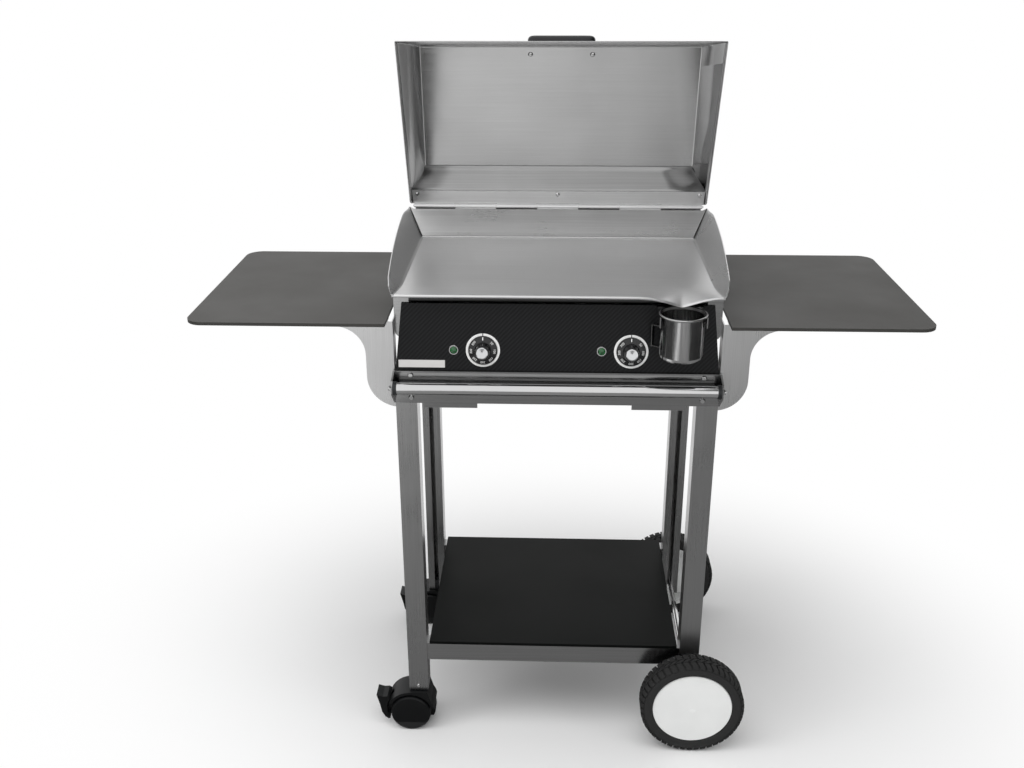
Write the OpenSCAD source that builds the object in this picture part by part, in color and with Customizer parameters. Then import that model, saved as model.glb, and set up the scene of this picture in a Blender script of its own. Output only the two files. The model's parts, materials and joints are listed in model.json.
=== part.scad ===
// Plancha on a cart: an electric griddle with a hinged hood, standing on a sheet steel trolley
// with two side shelves, a lower shelf, two castors on the left and two big wheels on the right.
// Millimetres. Front towards -Y, floor at Z = 0, the middle of the overall plan at X = Y = 0.

/* [Sheet] */
// Thickness of the folded stainless sheet
sheet_t = 2; // [1.5:0.5:2.5]

/* [Cart frame] */
// Width over the legs
frame_w = 600; // [560:10:660]
// Depth over the legs
frame_d = 420; // [400:10:480]
// Width of the face of a leg
leg_w = 40; // [36:1:44]
// Depth of a leg
leg_d = 40; // [34:1:46]
// Width of the lips that close the open side of a leg
leg_lip = 15; // [8:1:15]
// Height of the lower end of the legs above the floor
leg_foot_z = 96; // [94:1:104]
// Height of the top of the frame above the floor
frame_top_z = 820; // [780:5:860]
// Height of the apron
apron_h = 64; // [56:2:76]
// How far the ears of the apron reach forward
ear_reach = 34; // [32:1:44]
// Thickness of the ears
ear_t = 3; // [2:0.5:3]
// Width of the top flange of the apron and of the side rails
flange_w = 34; // [30:1:40]
// Height of the side rails
side_rail_h = 40; // [30:2:50]

/* [Towel bar] */
// Diameter of the bar
bar_d = 22; // [18:1:24]
// Wall of the bar
bar_wall = 1.5; // [1:0.5:2]
// Distance from the apron to the axis of the bar
bar_out = 24; // [20:1:24]
// Depth of the axis of the bar below the top of the frame
bar_drop = 25; // [22:1:30]
// Thickness of the bush at each end of the bar
bush_t = 7; // [5:0.5:9]

/* [Lower shelf] */
// Height of the top of the lower shelf
low_shelf_z = 218; // [190:2:300]
// Thickness of the shelf boards
board_t = 6; // [4:1:8]
// Height of the rails under the lower shelf
low_rail_h = 40; // [30:2:50]
// Width of the top flange of those rails
low_flange_w = 28; // [20:1:34]
// Gap between the lower shelf and the legs, each side
low_shelf_gap = 6; // [3:1:10]

/* [Side shelves] */
// Width of a side shelf
shelf_w = 366; // [300:2:400]
// Depth of a side shelf
shelf_d = 472; // [450:2:500]
// Height of the top of the side shelves
shelf_z = 920; // [905:1:930]
// Distance from the middle of the cart to the inner edge of a side shelf
shelf_in_x = 310; // [308:1:316]
// Radius of the outer corners of a side shelf
shelf_corner_r = 32; // [15:1:60]
// Length of the arm of a bracket beyond the leg
arm_len = 298; // [240:2:298]
// Height of the arm of a bracket
arm_h = 10; // [8:1:14]
// Width of the upright part of a bracket
bracket_w = 52; // [40:1:60]
// Radius of the hollow corner of a bracket
bracket_fillet_r = 55; // [30:1:70]
// Height of the lower end of the brackets
bracket_low_z = 745; // [735:1:755]

/* [Griddle] */
// Width of the flat of the griddle
pan_w = 576; // [560:4:600]
// Depth of the flat of the griddle
pan_d = 400; // [380:5:430]
// Height of the cooking surface
pan_z = 970; // [965:1:985]
// Thickness of the griddle plate
plate_t = 6; // [5:0.5:8]
// Thickness of the walls of the griddle
wall_t = 2.5; // [2:0.5:4]
// Outward lean of the side walls, sideways over upwards
side_lean = 0.565; // [0.45:0.005:0.6]
// Lean of the back wall, backwards over upwards
back_lean = 0.9; // [0.7:0.05:1]
// Height of the side walls at the front
wall_front_h = 25; // [15:1:35]
// Height of the side walls at the back
wall_rear_h = 60; // [56:1:66]
// Height of the back wall
back_wall_h = 50; // [44:1:52]
// Radius of the curved top edge of the side walls
wall_arc_r = 3400; // [2500:100:5000]
// Distance from the right edge of the flat to the middle of the pouring spout
spout_in = 66.5; // [60:0.5:130]
// Width of the pouring spout
spout_w = 116; // [90:2:130]
// Depth of the pouring spout
spout_drop = 15; // [10:1:18]

/* [Housing] */
// Height of the lower edge of the tray
tray_low_z = 876; // [865:1:890]
// How far the lower box of the housing stands in from the tray, each side
box_inset = 14; // [10:1:28]
// Height of the rubber feet
foot_h = 12; // [8:1:16]
// Height of the top edge of the fascia
fascia_top_z = 944; // [930:1:945]
// How far the lower edge of the fascia stands in from the sides of the frame
fascia_inset = 2; // [1:0.5:10]
// How much the fascia narrows towards its upper edge, each side
fascia_taper = 13; // [6:0.5:14]
// Backward tilt of the fascia in degrees
fascia_tilt = 7.5; // [4:0.5:8]

/* [Controls] */
// Distance from the middle to the axis of each knob
knob_x = 136; // [120:1:150]
// Height of the knob axes on the fascia
knob_z = 858; // [852:1:864]
// Outer diameter of the dial rings
dial_d = 63; // [58:1:68]
// Diameter of the skirt of a knob
knob_skirt_d = 54; // [46:1:56]
// Height of a knob
knob_h = 27; // [20:1:32]
// Diameter of the chrome cap of a knob
knob_cap_d = 22; // [18:1:24]
// Diameter of the thermostat spindles
spindle_d = 6; // [5:0.5:7]
// Distance from each knob to its pilot light, towards the left
pilot_off = 54; // [46:1:60]
// Outer diameter of a pilot light
pilot_d = 19.5; // [16:0.5:22]

/* [Hood] */
// Forward lean of the open hood in degrees
hood_lean = 26; // [20:1:30]
// Height of the rear wall of the hood
hood_rear_h = 45; // [40:1:50]
// Depth of the flat top of the hood
hood_top_d = 351; // [340:1:360]
// Length of the sloped front of the hood
hood_front_l = 110; // [100:1:116]
// Slope of the front of the hood in degrees
hood_front_slope = 52; // [46:1:58]
// Half width of the flat top of the hood at its rear edge
hood_fold_x = 285; // [280:1:288]
// Inward run of the side folds over their length
hood_taper = 0.1284; // [0.12:0.001:0.14]
// Outward lean of the sides of the hood, sideways over downwards
hood_side_lean = 0.82; // [0.7:0.01:0.83]
// Thickness of the hood sheet
hood_t = 1.5; // [1:0.25:2]
// Diameter of the hinge barrel
barrel_d = 8; // [7:0.5:9]
// Diameter of the hinge pin
hinge_pin_d = 4; // [3:0.5:4.5]
// Distance between the two posts of the handle
handle_pitch = 120; // [100:2:160]
// Length of the grip
grip_l = 132; // [124:2:180]
// Distance from the hood to the axis of the grip
grip_out = 46; // [38:1:60]

/* [Grease cup] */
// Outer diameter of the cup
cup_d = 78; // [70:1:80]
// Diameter of the rolled rim of the cup
cup_rim_d = 87; // [84:1:90]
// Height of the cup
cup_h = 85; // [70:1:95]
// Height of the rim of the cup
cup_top_z = 948; // [940:1:949]
// Distance from the legs' face forward to the axis of the cup
cup_out = 31; // [30:1:36]

/* [Big wheels] */
// Diameter of the tyres
wheel_d = 211; // [205:1:220]
// Width of the tyres
tyre_w = 50; // [42:1:52]
// Diameter of the wheel discs
disc_d = 161; // [140:1:165]
// Distance from the middle to the wheel axle
axle_x = 286; // [282:1:288]
// Diameter of the axle
axle_d = 12; // [10:0.5:14]
// Gap between the legs and the tyres
wheel_gap = 10; // [8:1:14]

/* [Castors] */
// Diameter of the castor wheels
castor_d = 84; // [78:1:86]
// Width over the twin wheels
castor_w = 66; // [60:1:70]
// Thickness of one castor wheel
castor_wheel_t = 24; // [20:1:26]
// Distance from the swivel axis back to the wheel axis
castor_trail = 18; // [12:1:24]
// Diameter of the castor stem
stem_d = 11; // [9:0.5:12]
// Diameter of the castor axle
castor_axle_d = 8; // [6:0.5:10]

/* [Fits] */
// Radial clearance between a turning pin and its bore
run_fit = 0.05; // [0.02:0.01:0.1]
// Side clearance between parts that turn against each other
side_fit = 0.3; // [0.2:0.05:0.5]
// Gap left where separate sheets meet edge on
sheet_fit = 0.2; // [0.1:0.05:0.3]

/* [Hidden] */
$fn = 64;

steel = "#9a9b9b";
dark_steel = "#77797a";
black = "#1d1e1f";
board_grey = "#5c5b58";
pale_grey = "#dcdedd";
chrome = "#d8dadc";

// The plan is centred between the front of the grease cup and the outer face of the rear wheel
cup_reach = cup_out + cup_rim_d / 2;
wheel_reach = wheel_gap + tyre_w;
front_y = (cup_reach - frame_d - wheel_reach) / 2;
rear_y = front_y + frame_d;
mid_y = (front_y + rear_y) / 2;
half_w = frame_w / 2;
leg_x = half_w - leg_w / 2;
apron_low_z = frame_top_z - apron_h;
leg_top_z = frame_top_z - sheet_t - sheet_fit;
bolt_d = 6;
bolt_head_d = 11;
bolt_in = 30;
tab_w = 100;
tab_h = 9;
tab_mid = [-half_w + 103, half_w - 110];
cut = 1;

// Griddle frame of reference
pan_front_y = front_y - 10;
pan_back_y = pan_front_y + pan_d;
pan_under_z = pan_z - plate_t;
side_t = wall_t * sqrt(1 + side_lean * side_lean);
back_t = wall_t * sqrt(1 + back_lean * back_lean);
pan_reach = 100;
hinge_y = pan_back_y + back_lean * back_wall_h + back_t;
hinge_z = pan_z + back_wall_h + barrel_d / 2 + 2;
arc_p0 = [pan_front_y, pan_z + wall_front_h];
arc_p1 = [hinge_y - 32, pan_z + wall_rear_h];
arc_chord = arc_p1 - arc_p0;
arc_back = sqrt(wall_arc_r * wall_arc_r - norm(arc_chord) * norm(arc_chord) / 4);
arc_centre = (arc_p0 + arc_p1) / 2 + [arc_chord[1], -arc_chord[0]] / norm(arc_chord) * arc_back;
spout_x = pan_w / 2 - spout_in;
spout_run = 60;
spout_r = (spout_w * spout_w / 4 + spout_drop * spout_drop) / (2 * spout_drop);
spout_tilt = atan(spout_drop / spout_run);
lip_t = 3;
lip_x = pan_w / 2 + side_t + 10;
heater_d = 8;
heater_pitch = 60;
heater_in = 40;
heater_ends = [90, 60];

// Housing and fascia, which fill the width between the brackets
tray_w = frame_w;
box_w = tray_w - 2 * box_inset;
fascia_low_w = frame_w - 2 * fascia_inset;
fascia_top_w = fascia_low_w - 2 * fascia_taper;
tray_front_y = front_y + 26;
tray_back_y = pan_back_y + 20;
tray_t = 1.5;
tray_corner_r = 14;
box_low_z = frame_top_z + foot_h;
cheek_w = 14;
roll_d = 10;
roll_z = fascia_top_z + 7;
fascia_y = front_y + 6;
fascia_t = 2;
fascia_rise = fascia_top_z - frame_top_z;
fascia_flange = 10;
plate_w = 86;
plate_h = 14;
plate_in = 5.5;
plate_z = frame_top_z + 11.5;
thermostat_size = [38, 34, 30];
foot_d = 30;
foot_x = half_w - 30;
gland_x = 200;
gland_z = tray_low_z - 20;

// Hood frame of reference, with the lid shut: forward and up from the hinge axis
hood_turn = 90 - hood_lean;
hood_lip = [hood_top_d + hood_front_l * cos(hood_front_slope),
            hood_rear_h - hood_front_l * sin(hood_front_slope)];
strip_x = 310;
strip_t = 2;
strip_d = 38;
strip_z = barrel_d / 2 - 1;
leaf_off = 0.2;
leaf_drop = 24;
half_space = 1400;
knuckles = 7;
knuckle_gap = 0.5;
barrel_l = 2 * strip_x - 4;
handle_at = hood_top_d - 19;
post_d = 10;
grip_d = 20;
strip_bolt_x = strip_x - 10.5;
strip_bolt_out = 29;

cup_x = spout_x;
cup_y = front_y - cup_out;
cup_t = 1;
cup_low_z = cup_top_z - cup_h;
arm_gap = 1.2;
hanger_t = 2;
hanger_h = 10;
hanger_top_z = cup_top_z - 4;
rim_bead = 3;

axle_z = wheel_d / 2;
wheel_front_y = front_y - wheel_gap - tyre_w / 2;
wheel_rear_y = rear_y + wheel_gap + tyre_w / 2;
hub_d = 34;
collar_t = 3;
disc_t = 4;

castor_x = -leg_x;
castor_axle_z = castor_d / 2;
castor_hub_w = castor_w - 2 * castor_wheel_t;
hood_r = castor_d / 2 + 9;
hood_w = castor_hub_w - 2 * side_fit;
plug_t = 4;
plug_h = 24;
pedal_pin_d = 5;
pedal_slot = 11;
pedal_w = 36;
pedal_pin_x = castor_x - castor_trail - hood_r + 5;

function front_leg_y() = front_y + leg_d / 2;
function rear_leg_y() = rear_y - leg_d / 2;
function fascia_y_at(z) = fascia_y + (z - frame_top_z) * tan(fascia_tilt);

module both_sides() {
    children();
    mirror([1, 0, 0]) children();
}

module front_and_rear() {
    children();
    translate([0, 2 * mid_y, 0]) mirror([0, 1, 0]) children();
}

// Solid bar along X between two X positions
module x_bar(d, x0, x1, y, z) {
    translate([x0, y, z]) rotate([0, 90, 0]) cylinder(d = d, h = x1 - x0);
}

// Solid bar along Y between two Y positions
module y_bar(d, y0, y1, x, z) {
    translate([x, y0, z]) rotate([-90, 0, 0]) cylinder(d = d, h = y1 - y0);
}

module block(x0, x1, y0, y1, z0, z1) {
    translate([x0, y0, z0]) cube([x1 - x0, y1 - y0, z1 - z0]);
}

// Outline in the Y-Z plane, drawn out along X about the middle
module along_x(width) {
    rotate([90, 0, 90]) translate([0, 0, -width / 2]) linear_extrude(width) children();
}

// Outline in the X-Z plane, drawn out along Y from y0 to y1
module along_y(y0, y1) {
    translate([0, y1, 0]) rotate([90, 0, 0]) linear_extrude(y1 - y0) children();
}

// Round-headed bolt with its nut, head at the origin and shank along +Z
module bolt(grip) {
    translate([0, 0, -3]) cylinder(d1 = bolt_head_d - 3, d2 = bolt_head_d, h = 3);
    cylinder(d = bolt_d - 0.4, h = grip + 6);
    translate([0, 0, grip]) cylinder(d = bolt_head_d, h = 5, $fn = 6);
}

// One leg in the front left place: face at the front, open towards the back
module leg_section() {
    difference() {
        square([leg_w, leg_d]);
        translate([sheet_t, sheet_t]) square([leg_w - 2 * sheet_t, leg_d - 2 * sheet_t]);
        translate([leg_lip, leg_d / 2]) square([leg_w - 2 * leg_lip, leg_d]);
    }
}

module leg(axle_hole) {
    difference() {
        translate([-half_w, front_y, leg_foot_z]) linear_extrude(leg_top_z - leg_foot_z) leg_section();
        for (z = [apron_bolt_z(0), apron_bolt_z(1)])
            y_bar(bolt_d, front_y - cut, front_y + sheet_t + cut, -half_w + bolt_in, z);
        for (z = bracket_bolt_z())
            x_bar(bolt_d, -half_w - cut, -half_w + sheet_t + cut, front_leg_y(), z);
        y_bar(axle_hole, front_y - cut, front_y + leg_d + cut,
              axle_hole > bolt_d ? -axle_x : -leg_x, axle_z);
    }
}

function apron_bolt_z(i) = i == 0 ? frame_top_z - 8 : apron_low_z + 11;
function bracket_bolt_z() = [frame_top_z - 16, apron_low_z + 8];

module leg_front_left() {
    color(dark_steel) leg(bolt_d);
}

module leg_front_right() {
    color(dark_steel) mirror([1, 0, 0]) leg(axle_d + 2 * run_fit);
}

module leg_rear_left() {
    color(dark_steel) translate([0, 2 * mid_y, 0]) mirror([0, 1, 0]) leg(bolt_d);
}

module leg_rear_right() {
    color(dark_steel) translate([0, 2 * mid_y, 0]) mirror([0, 1, 0]) mirror([1, 0, 0])
        leg(axle_d + 2 * run_fit);
}

// Front plate with its top flange, a folded lower hem and two tabs
module apron_sheet() {
    difference() {
        union() {
            block(-half_w, half_w, front_y - sheet_t, front_y, apron_low_z, frame_top_z);
            block(-half_w, half_w, front_y - sheet_t, front_y + flange_w, frame_top_z - sheet_t, frame_top_z);
        }
        both_sides()
            for (z = [apron_bolt_z(0), apron_bolt_z(1)])
                y_bar(bolt_d, front_y - sheet_t - cut, front_y + cut, -half_w + bolt_in, z);
    }
}

module ear_outline() {
    polygon([
        [front_y, frame_top_z], [front_y - ear_reach + 6, frame_top_z - 10],
        [front_y - ear_reach, frame_top_z - 18], [front_y - ear_reach, frame_top_z - 33],
        [front_y - ear_reach + 5, frame_top_z - 40], [front_y, apron_low_z]
    ]);
}

module front_apron() {
    color(steel) {
        difference() {
            union() {
                apron_sheet();
                both_sides()
                    translate([half_w, 0, 0]) rotate([90, 0, 90]) linear_extrude(ear_t) ear_outline();
                both_sides()
                    block(half_w - sheet_t, half_w + ear_t, front_y - sheet_t, front_y,
                          apron_low_z, frame_top_z);
                for (x = tab_mid)
                    block(x - tab_w / 2, x + tab_w / 2, front_y - sheet_t, front_y,
                          apron_low_z - tab_h, apron_low_z);
            }
            x_bar(bolt_d, -frame_w, frame_w, bar_y(), bar_z());
        }
    }
}

module rear_apron() {
    color(steel) translate([0, 2 * mid_y, 0]) mirror([0, 1, 0]) apron_sheet();
}

// Channel between the legs under the top flange, for the feet of the housing
module side_rail() {
    y0 = front_y + leg_d + sheet_fit;
    y1 = rear_y - leg_d - sheet_fit;
    z0 = frame_top_z - side_rail_h;
    block(-half_w + sheet_t, -half_w + 2 * sheet_t, y0, y1, z0, frame_top_z);
    block(-half_w + sheet_t, -half_w + 10 + flange_w, y0, y1, frame_top_z - sheet_t, frame_top_z);
    block(-half_w + sheet_t, -half_w + 20, y0, y1, z0, z0 + sheet_t);
}

module side_rail_left() {
    color(steel) side_rail();
}

module side_rail_right() {
    color(steel) mirror([1, 0, 0]) side_rail();
}

module lower_shelf() {
    x = half_w - leg_w - low_shelf_gap;
    color(black) block(-x, x, front_y, rear_y, low_shelf_z - board_t, low_shelf_z);
}

module lower_rail() {
    x = half_w - leg_w - sheet_fit;
    z1 = low_shelf_z - board_t;
    z0 = z1 - low_rail_h;
    block(-x, x, front_y + 2, front_y + 2 + sheet_t, z0, z1);
    block(-x, x, front_y + 2, front_y + 2 + low_flange_w, z1 - sheet_t, z1);
    block(-x, x, front_y + 2, front_y + 16, z0, z0 + sheet_t);
}

module lower_rail_front() {
    color(steel) lower_rail();
}

module lower_rail_rear() {
    color(steel) translate([0, 2 * mid_y, 0]) mirror([0, 1, 0]) lower_rail();
}

function bar_y() = front_y - sheet_t - bar_out;
function bar_z() = frame_top_z - bar_drop;

module towel_bar() {
    x = half_w - bush_t;
    color(chrome) difference() {
        x_bar(bar_d, -x, x, bar_y(), bar_z());
        x_bar(bar_d - 2 * bar_wall, -x - cut, x + cut, bar_y(), bar_z());
    }
}

// Flanged bush whose spigot fills the end of the bar
module bar_bushes() {
    color(black) both_sides() difference() {
        union() {
            x_bar(bar_d + 4, half_w - bush_t, half_w, bar_y(), bar_z());
            x_bar(bar_d - 2 * bar_wall - 0.2, half_w - bush_t - 15, half_w - bush_t, bar_y(), bar_z());
        }
        x_bar(bolt_d, half_w - bush_t - 15 - cut, half_w + cut, bar_y(), bar_z());
    }
}

// Domed nut outside each ear, with its stud through the bush
module bar_nuts() {
    color(chrome) both_sides() {
        x_bar(bolt_d - 0.4, half_w - bush_t - 14, half_w + ear_t, bar_y(), bar_z());
        translate([half_w + ear_t, bar_y(), bar_z()]) rotate([0, 90, 0]) {
            cylinder(d = 11, h = 3, $fn = 6);
            intersection() {
                sphere(d = 13);
                cylinder(d = 9, h = 8);
            }
        }
    }
}

module frame_bolts() {
    color(chrome) {
        front_and_rear() both_sides() {
            for (z = [apron_bolt_z(0), apron_bolt_z(1)])
                translate([-half_w + bolt_in, front_y - sheet_t, z]) rotate([-90, 0, 0])
                    bolt(2 * sheet_t);
            for (z = bracket_bolt_z())
                translate([-half_w - sheet_t - sheet_fit, front_leg_y(), z]) rotate([0, 90, 0])
                    bolt(2 * sheet_t + sheet_fit);
        }
        front_and_rear()
            translate([-leg_x, front_y, axle_z]) rotate([-90, 0, 0]) {
                translate([0, 0, -2]) cylinder(d1 = 6, d2 = 9, h = 2);
                cylinder(d = bolt_d - 0.4, h = sheet_t + plug_t);
            }
    }
}

module shelf_outline() {
    union() {
        square([shelf_w - shelf_corner_r, shelf_d]);
        translate([0, shelf_corner_r]) square([shelf_w, shelf_d - 2 * shelf_corner_r]);
        for (y = [shelf_corner_r, shelf_d - shelf_corner_r])
            translate([shelf_w - shelf_corner_r, y]) circle(r = shelf_corner_r);
    }
}

module side_shelf() {
    translate([shelf_in_x, mid_y - shelf_d / 2, shelf_z - board_t]) linear_extrude(board_t) shelf_outline();
}

module shelf_right() {
    color(board_grey) side_shelf();
}

module shelf_left() {
    color(board_grey) mirror([1, 0, 0]) side_shelf();
}

// Face of the bracket in the X-Z plane: an upright, a hollow corner and a slender arm
module bracket_outline() {
    x0 = half_w + sheet_fit;
    x1 = x0 + bracket_w;
    z1 = shelf_z - board_t;
    foot_r = bracket_w + 8;
    difference() {
        union() {
            translate([x0, bracket_low_z + foot_r]) square([bracket_w, z1 - bracket_low_z - foot_r]);
            translate([x0, z1 - arm_h]) square([arm_len - 4, arm_h]);
            translate([x0 + arm_len - arm_h, z1 - arm_h]) intersection() {
                square([arm_h, arm_h]);
                translate([0, arm_h]) circle(r = arm_h);
            }
            translate([x1 - cut, z1 - arm_h - bracket_fillet_r])
                square([bracket_fillet_r + cut, bracket_fillet_r + cut]);
            intersection() {
                translate([x1 - foot_r, bracket_low_z + foot_r]) circle(r = foot_r);
                translate([x0, bracket_low_z]) square([bracket_w, foot_r + cut]);
            }
        }
        translate([x1 + bracket_fillet_r, z1 - arm_h - bracket_fillet_r]) circle(r = bracket_fillet_r);
    }
}

module bracket() {
    x0 = half_w + sheet_fit;
    y0 = front_y + 4;
    z1 = shelf_z - board_t;
    difference() {
        union() {
            along_y(y0, y0 + sheet_t) bracket_outline();
            block(x0, x0 + sheet_t, y0, y0 + leg_d - 8, bracket_low_z + 6, z1);
            block(shelf_in_x, x0 + arm_len - 12, y0, y0 + 24, z1 - sheet_t, z1);
        }
        for (z = bracket_bolt_z())
            x_bar(bolt_d, x0 - cut, x0 + sheet_t + cut, front_leg_y(), z);
    }
}

module bracket_front_right() {
    color(steel) bracket();
}

module bracket_front_left() {
    color(steel) mirror([1, 0, 0]) bracket();
}

module bracket_rear_right() {
    color(steel) translate([0, 2 * mid_y, 0]) mirror([0, 1, 0]) bracket();
}

module bracket_rear_left() {
    color(steel) translate([0, 2 * mid_y, 0]) mirror([0, 1, 0]) mirror([1, 0, 0]) bracket();
}

// Tapered block whose sides and back lean outwards; grown by the wall for the outside
module pan_block(z0, side_grow, back_grow) {
    h = pan_reach;
    dz = z0 - pan_z;
    w0 = pan_w / 2 + side_grow + dz * side_lean;
    w1 = w0 + (h - dz) * side_lean;
    b0 = pan_back_y + back_grow + dz * back_lean;
    b1 = b0 + (h - dz) * back_lean;
    intersection() {
        along_y(pan_front_y - (side_grow > 0 ? 0 : cut), b1 + cut)
            polygon([[-w0, z0], [w0, z0], [w1, pan_z + h], [-w1, pan_z + h]]);
        along_x(4 * pan_w)
            polygon([[pan_front_y - (side_grow > 0 ? 0 : cut), z0], [b0, z0], [b1, pan_z + h],
                     [pan_front_y - (side_grow > 0 ? 0 : cut), pan_z + h]]);
    }
}

module spout_cylinder(r, len) {
    translate([spout_x, pan_front_y, pan_z - spout_drop + spout_r / cos(spout_tilt)])
        rotate([spout_tilt - 90, 0, 0])
        cylinder(r = r, h = len, center = true, $fn = 180);
}

module griddle_pan() {
    color(steel) difference() {
        union() {
            intersection() {
                difference() {
                    pan_block(pan_under_z, side_t, back_t);
                    pan_block(pan_z, 0, 0);
                }
                translate([0, arc_centre[0], arc_centre[1]]) rotate([0, 90, 0])
                    cylinder(r = wall_arc_r, h = 4 * pan_w, center = true, $fn = 360);
            }
            block(-lip_x, lip_x, pan_front_y, pan_front_y + lip_t, pan_under_z, pan_z);
            intersection() {
                difference() {
                    spout_cylinder(spout_r + plate_t - 1, 6 * spout_run);
                    spout_cylinder(spout_r, 8 * spout_run);
                }
                block(spout_x - spout_w, spout_x + spout_w, pan_front_y, pan_front_y + spout_run,
                      pan_z - spout_drop - 2 * plate_t, pan_under_z + cut);
            }
        }
        intersection() {
            spout_cylinder(spout_r, 8 * spout_run);
            block(spout_x - spout_w, spout_x + spout_w, pan_front_y - cut, pan_front_y + spout_run,
                  pan_z - 3 * spout_drop, pan_z + cut);
        }
        block(-pan_w, pan_w, pan_back_y - cut, pan_back_y + pan_reach, pan_z + back_wall_h,
              pan_z + pan_reach);
    }
}

// Section of the housing across the cart: a wide tray over a narrower box, with rounded corners
module housing_section(inset) {
    x1 = tray_w / 2 - inset;
    x2 = box_w / 2 - inset;
    z0 = box_low_z + inset;
    z1 = tray_low_z + inset;
    z2 = pan_under_z;
    union() {
        translate([-x2, z0]) square([2 * x2, z2 - z0]);
        translate([-x1, z1 + tray_corner_r]) square([2 * x1, z2 - z1 - tray_corner_r]);
        translate([-x1 + tray_corner_r, z1]) square([2 * (x1 - tray_corner_r), z2 - z1]);
        for (s = [-1, 1])
            translate([s * (x1 - tray_corner_r), z1 + tray_corner_r]) circle(r = tray_corner_r);
    }
}

module housing() {
    color(steel) difference() {
        union() {
            difference() {
                along_y(tray_front_y, tray_back_y) housing_section(0);
                along_y(tray_front_y + tray_t, tray_back_y - tray_t) housing_section(tray_t);
                block(-tray_w / 2 + 20, tray_w / 2 - 20, tray_front_y + 20, tray_back_y - 20,
                      pan_under_z - 10, pan_under_z + cut);
                block(-box_w / 2 + cheek_w, box_w / 2 - cheek_w, tray_front_y - cut, tray_front_y + 3,
                      box_low_z + 4, roll_z);
            }
            both_sides()
                block(tray_w / 2 - 20, tray_w / 2 - tray_t, tray_front_y, tray_back_y,
                      pan_under_z - tray_t, pan_under_z);
            block(-tray_w / 2 + tray_t, tray_w / 2 - tray_t, tray_back_y - 20, tray_back_y,
                  pan_under_z - tray_t, pan_under_z);
            x_bar(roll_d, -box_w / 2 + cheek_w, box_w / 2 - cheek_w, tray_front_y + 3, roll_z);
        }
        y_bar(gland_hole_d(), tray_back_y - 2 * tray_t, tray_back_y + cut, gland_x, gland_z);
        intersection() {
            spout_cylinder(spout_r + plate_t, 8 * spout_run);
            block(spout_x - spout_w, spout_x + spout_w, front_y, front_y + spout_run,
                  pan_z - 3 * spout_drop, pan_z);
        }
    }
}

function gland_hole_d() = 16;

module power_gland() {
    color(black) difference() {
        union() {
            y_bar(gland_hole_d() - 0.2, tray_back_y - 6, tray_back_y, gland_x, gland_z);
            y_bar(24, tray_back_y, tray_back_y + 5, gland_x, gland_z);
            translate([gland_x, tray_back_y + 5, gland_z]) rotate([-90, 0, 0])
                cylinder(d1 = 20, d2 = 15, h = 14);
            y_bar(22, tray_back_y - tray_t - 5, tray_back_y - tray_t, gland_x, gland_z);
        }
        y_bar(9, tray_back_y - 8, tray_back_y + 20, gland_x, gland_z);
    }
}

module housing_feet() {
    color(black) both_sides()
        for (y = [front_y + leg_d + 30, rear_y - leg_d - 30])
            translate([foot_x, y, frame_top_z]) cylinder(d1 = foot_d, d2 = foot_d - 4, h = foot_h);
}

// Places its children on the outer face of the fascia, +Z pointing out of it
module on_fascia(x, z) {
    translate([x, fascia_y_at(z), z]) rotate([90 - fascia_tilt, 0, 0]) children();
}

module fascia() {
    run = fascia_y_at(fascia_top_z);
    color(black) difference() {
        intersection() {
            along_x(frame_w + 10)
                polygon([
                    [fascia_y, frame_top_z], [fascia_y + fascia_flange, frame_top_z],
                    [fascia_y + fascia_flange, frame_top_z + fascia_t],
                    [fascia_y_at(frame_top_z + fascia_t) + fascia_t, frame_top_z + fascia_t],
                    [run + fascia_t, fascia_top_z], [run, fascia_top_z]
                ]);
            along_y(front_y - 20, front_y + 80)
                polygon([
                    [-fascia_low_w / 2, frame_top_z], [fascia_low_w / 2, frame_top_z],
                    [fascia_top_w / 2, fascia_top_z], [-fascia_top_w / 2, fascia_top_z]
                ]);
        }
        for (x = [-knob_x, knob_x]) {
            on_fascia(x, knob_z) cylinder(d = spindle_d + 4, h = 20, center = true);
            on_fascia(x - pilot_off, knob_z) cylinder(d = pilot_d - 5, h = 20, center = true);
        }
    }
}

module blank_plate() {
    color(pale_grey) on_fascia(-fascia_low_w / 2 + plate_in, plate_z)
        translate([0, -plate_h / 2, 0]) cube([plate_w, plate_h, 1]);
}

module dial_rings() {
    color("white") for (x = [-knob_x, knob_x])
        on_fascia(x, knob_z) difference() {
            cylinder(d = dial_d, h = 1);
            translate([0, 0, -cut]) cylinder(d = dial_d - 9, h = 3);
            translate([-0.8, dial_d / 2 - 6, -cut]) cube([1.6, 8, 4]);
        }
}

// Skirted knob turned about the spindle, with finger flutes round its barrel
module knob(x) {
    color(black) on_fascia(x, knob_z) {
        difference() {
            rotate_extrude($fn = 96)
                polygon([
                    [0, 1.4], [knob_skirt_d / 2, 1.4], [knob_skirt_d / 2, 3], [knob_skirt_d / 2 - 1, 4],
                    [knob_cap_d / 2 + 5, 6.5], [knob_cap_d / 2 + 2.4, knob_h - 3],
                    [knob_cap_d / 2 + 1.6, knob_h], [0, knob_h]
                ]);
            for (a = [0:30:330])
                rotate([0, 0, a + 15]) translate([knob_cap_d / 2 + 5.2, 0, 6.6])
                    cylinder(d = 4, h = knob_h, $fn = 24);
            translate([0, 0, knob_h - 1]) cylinder(d = knob_cap_d + 0.2, h = 2);
        }
        translate([0, 0, -20]) cylinder(d = spindle_d, h = 22);
    }
}

module knob_left() {
    knob(-knob_x);
}

module knob_right() {
    knob(knob_x);
}

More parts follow.
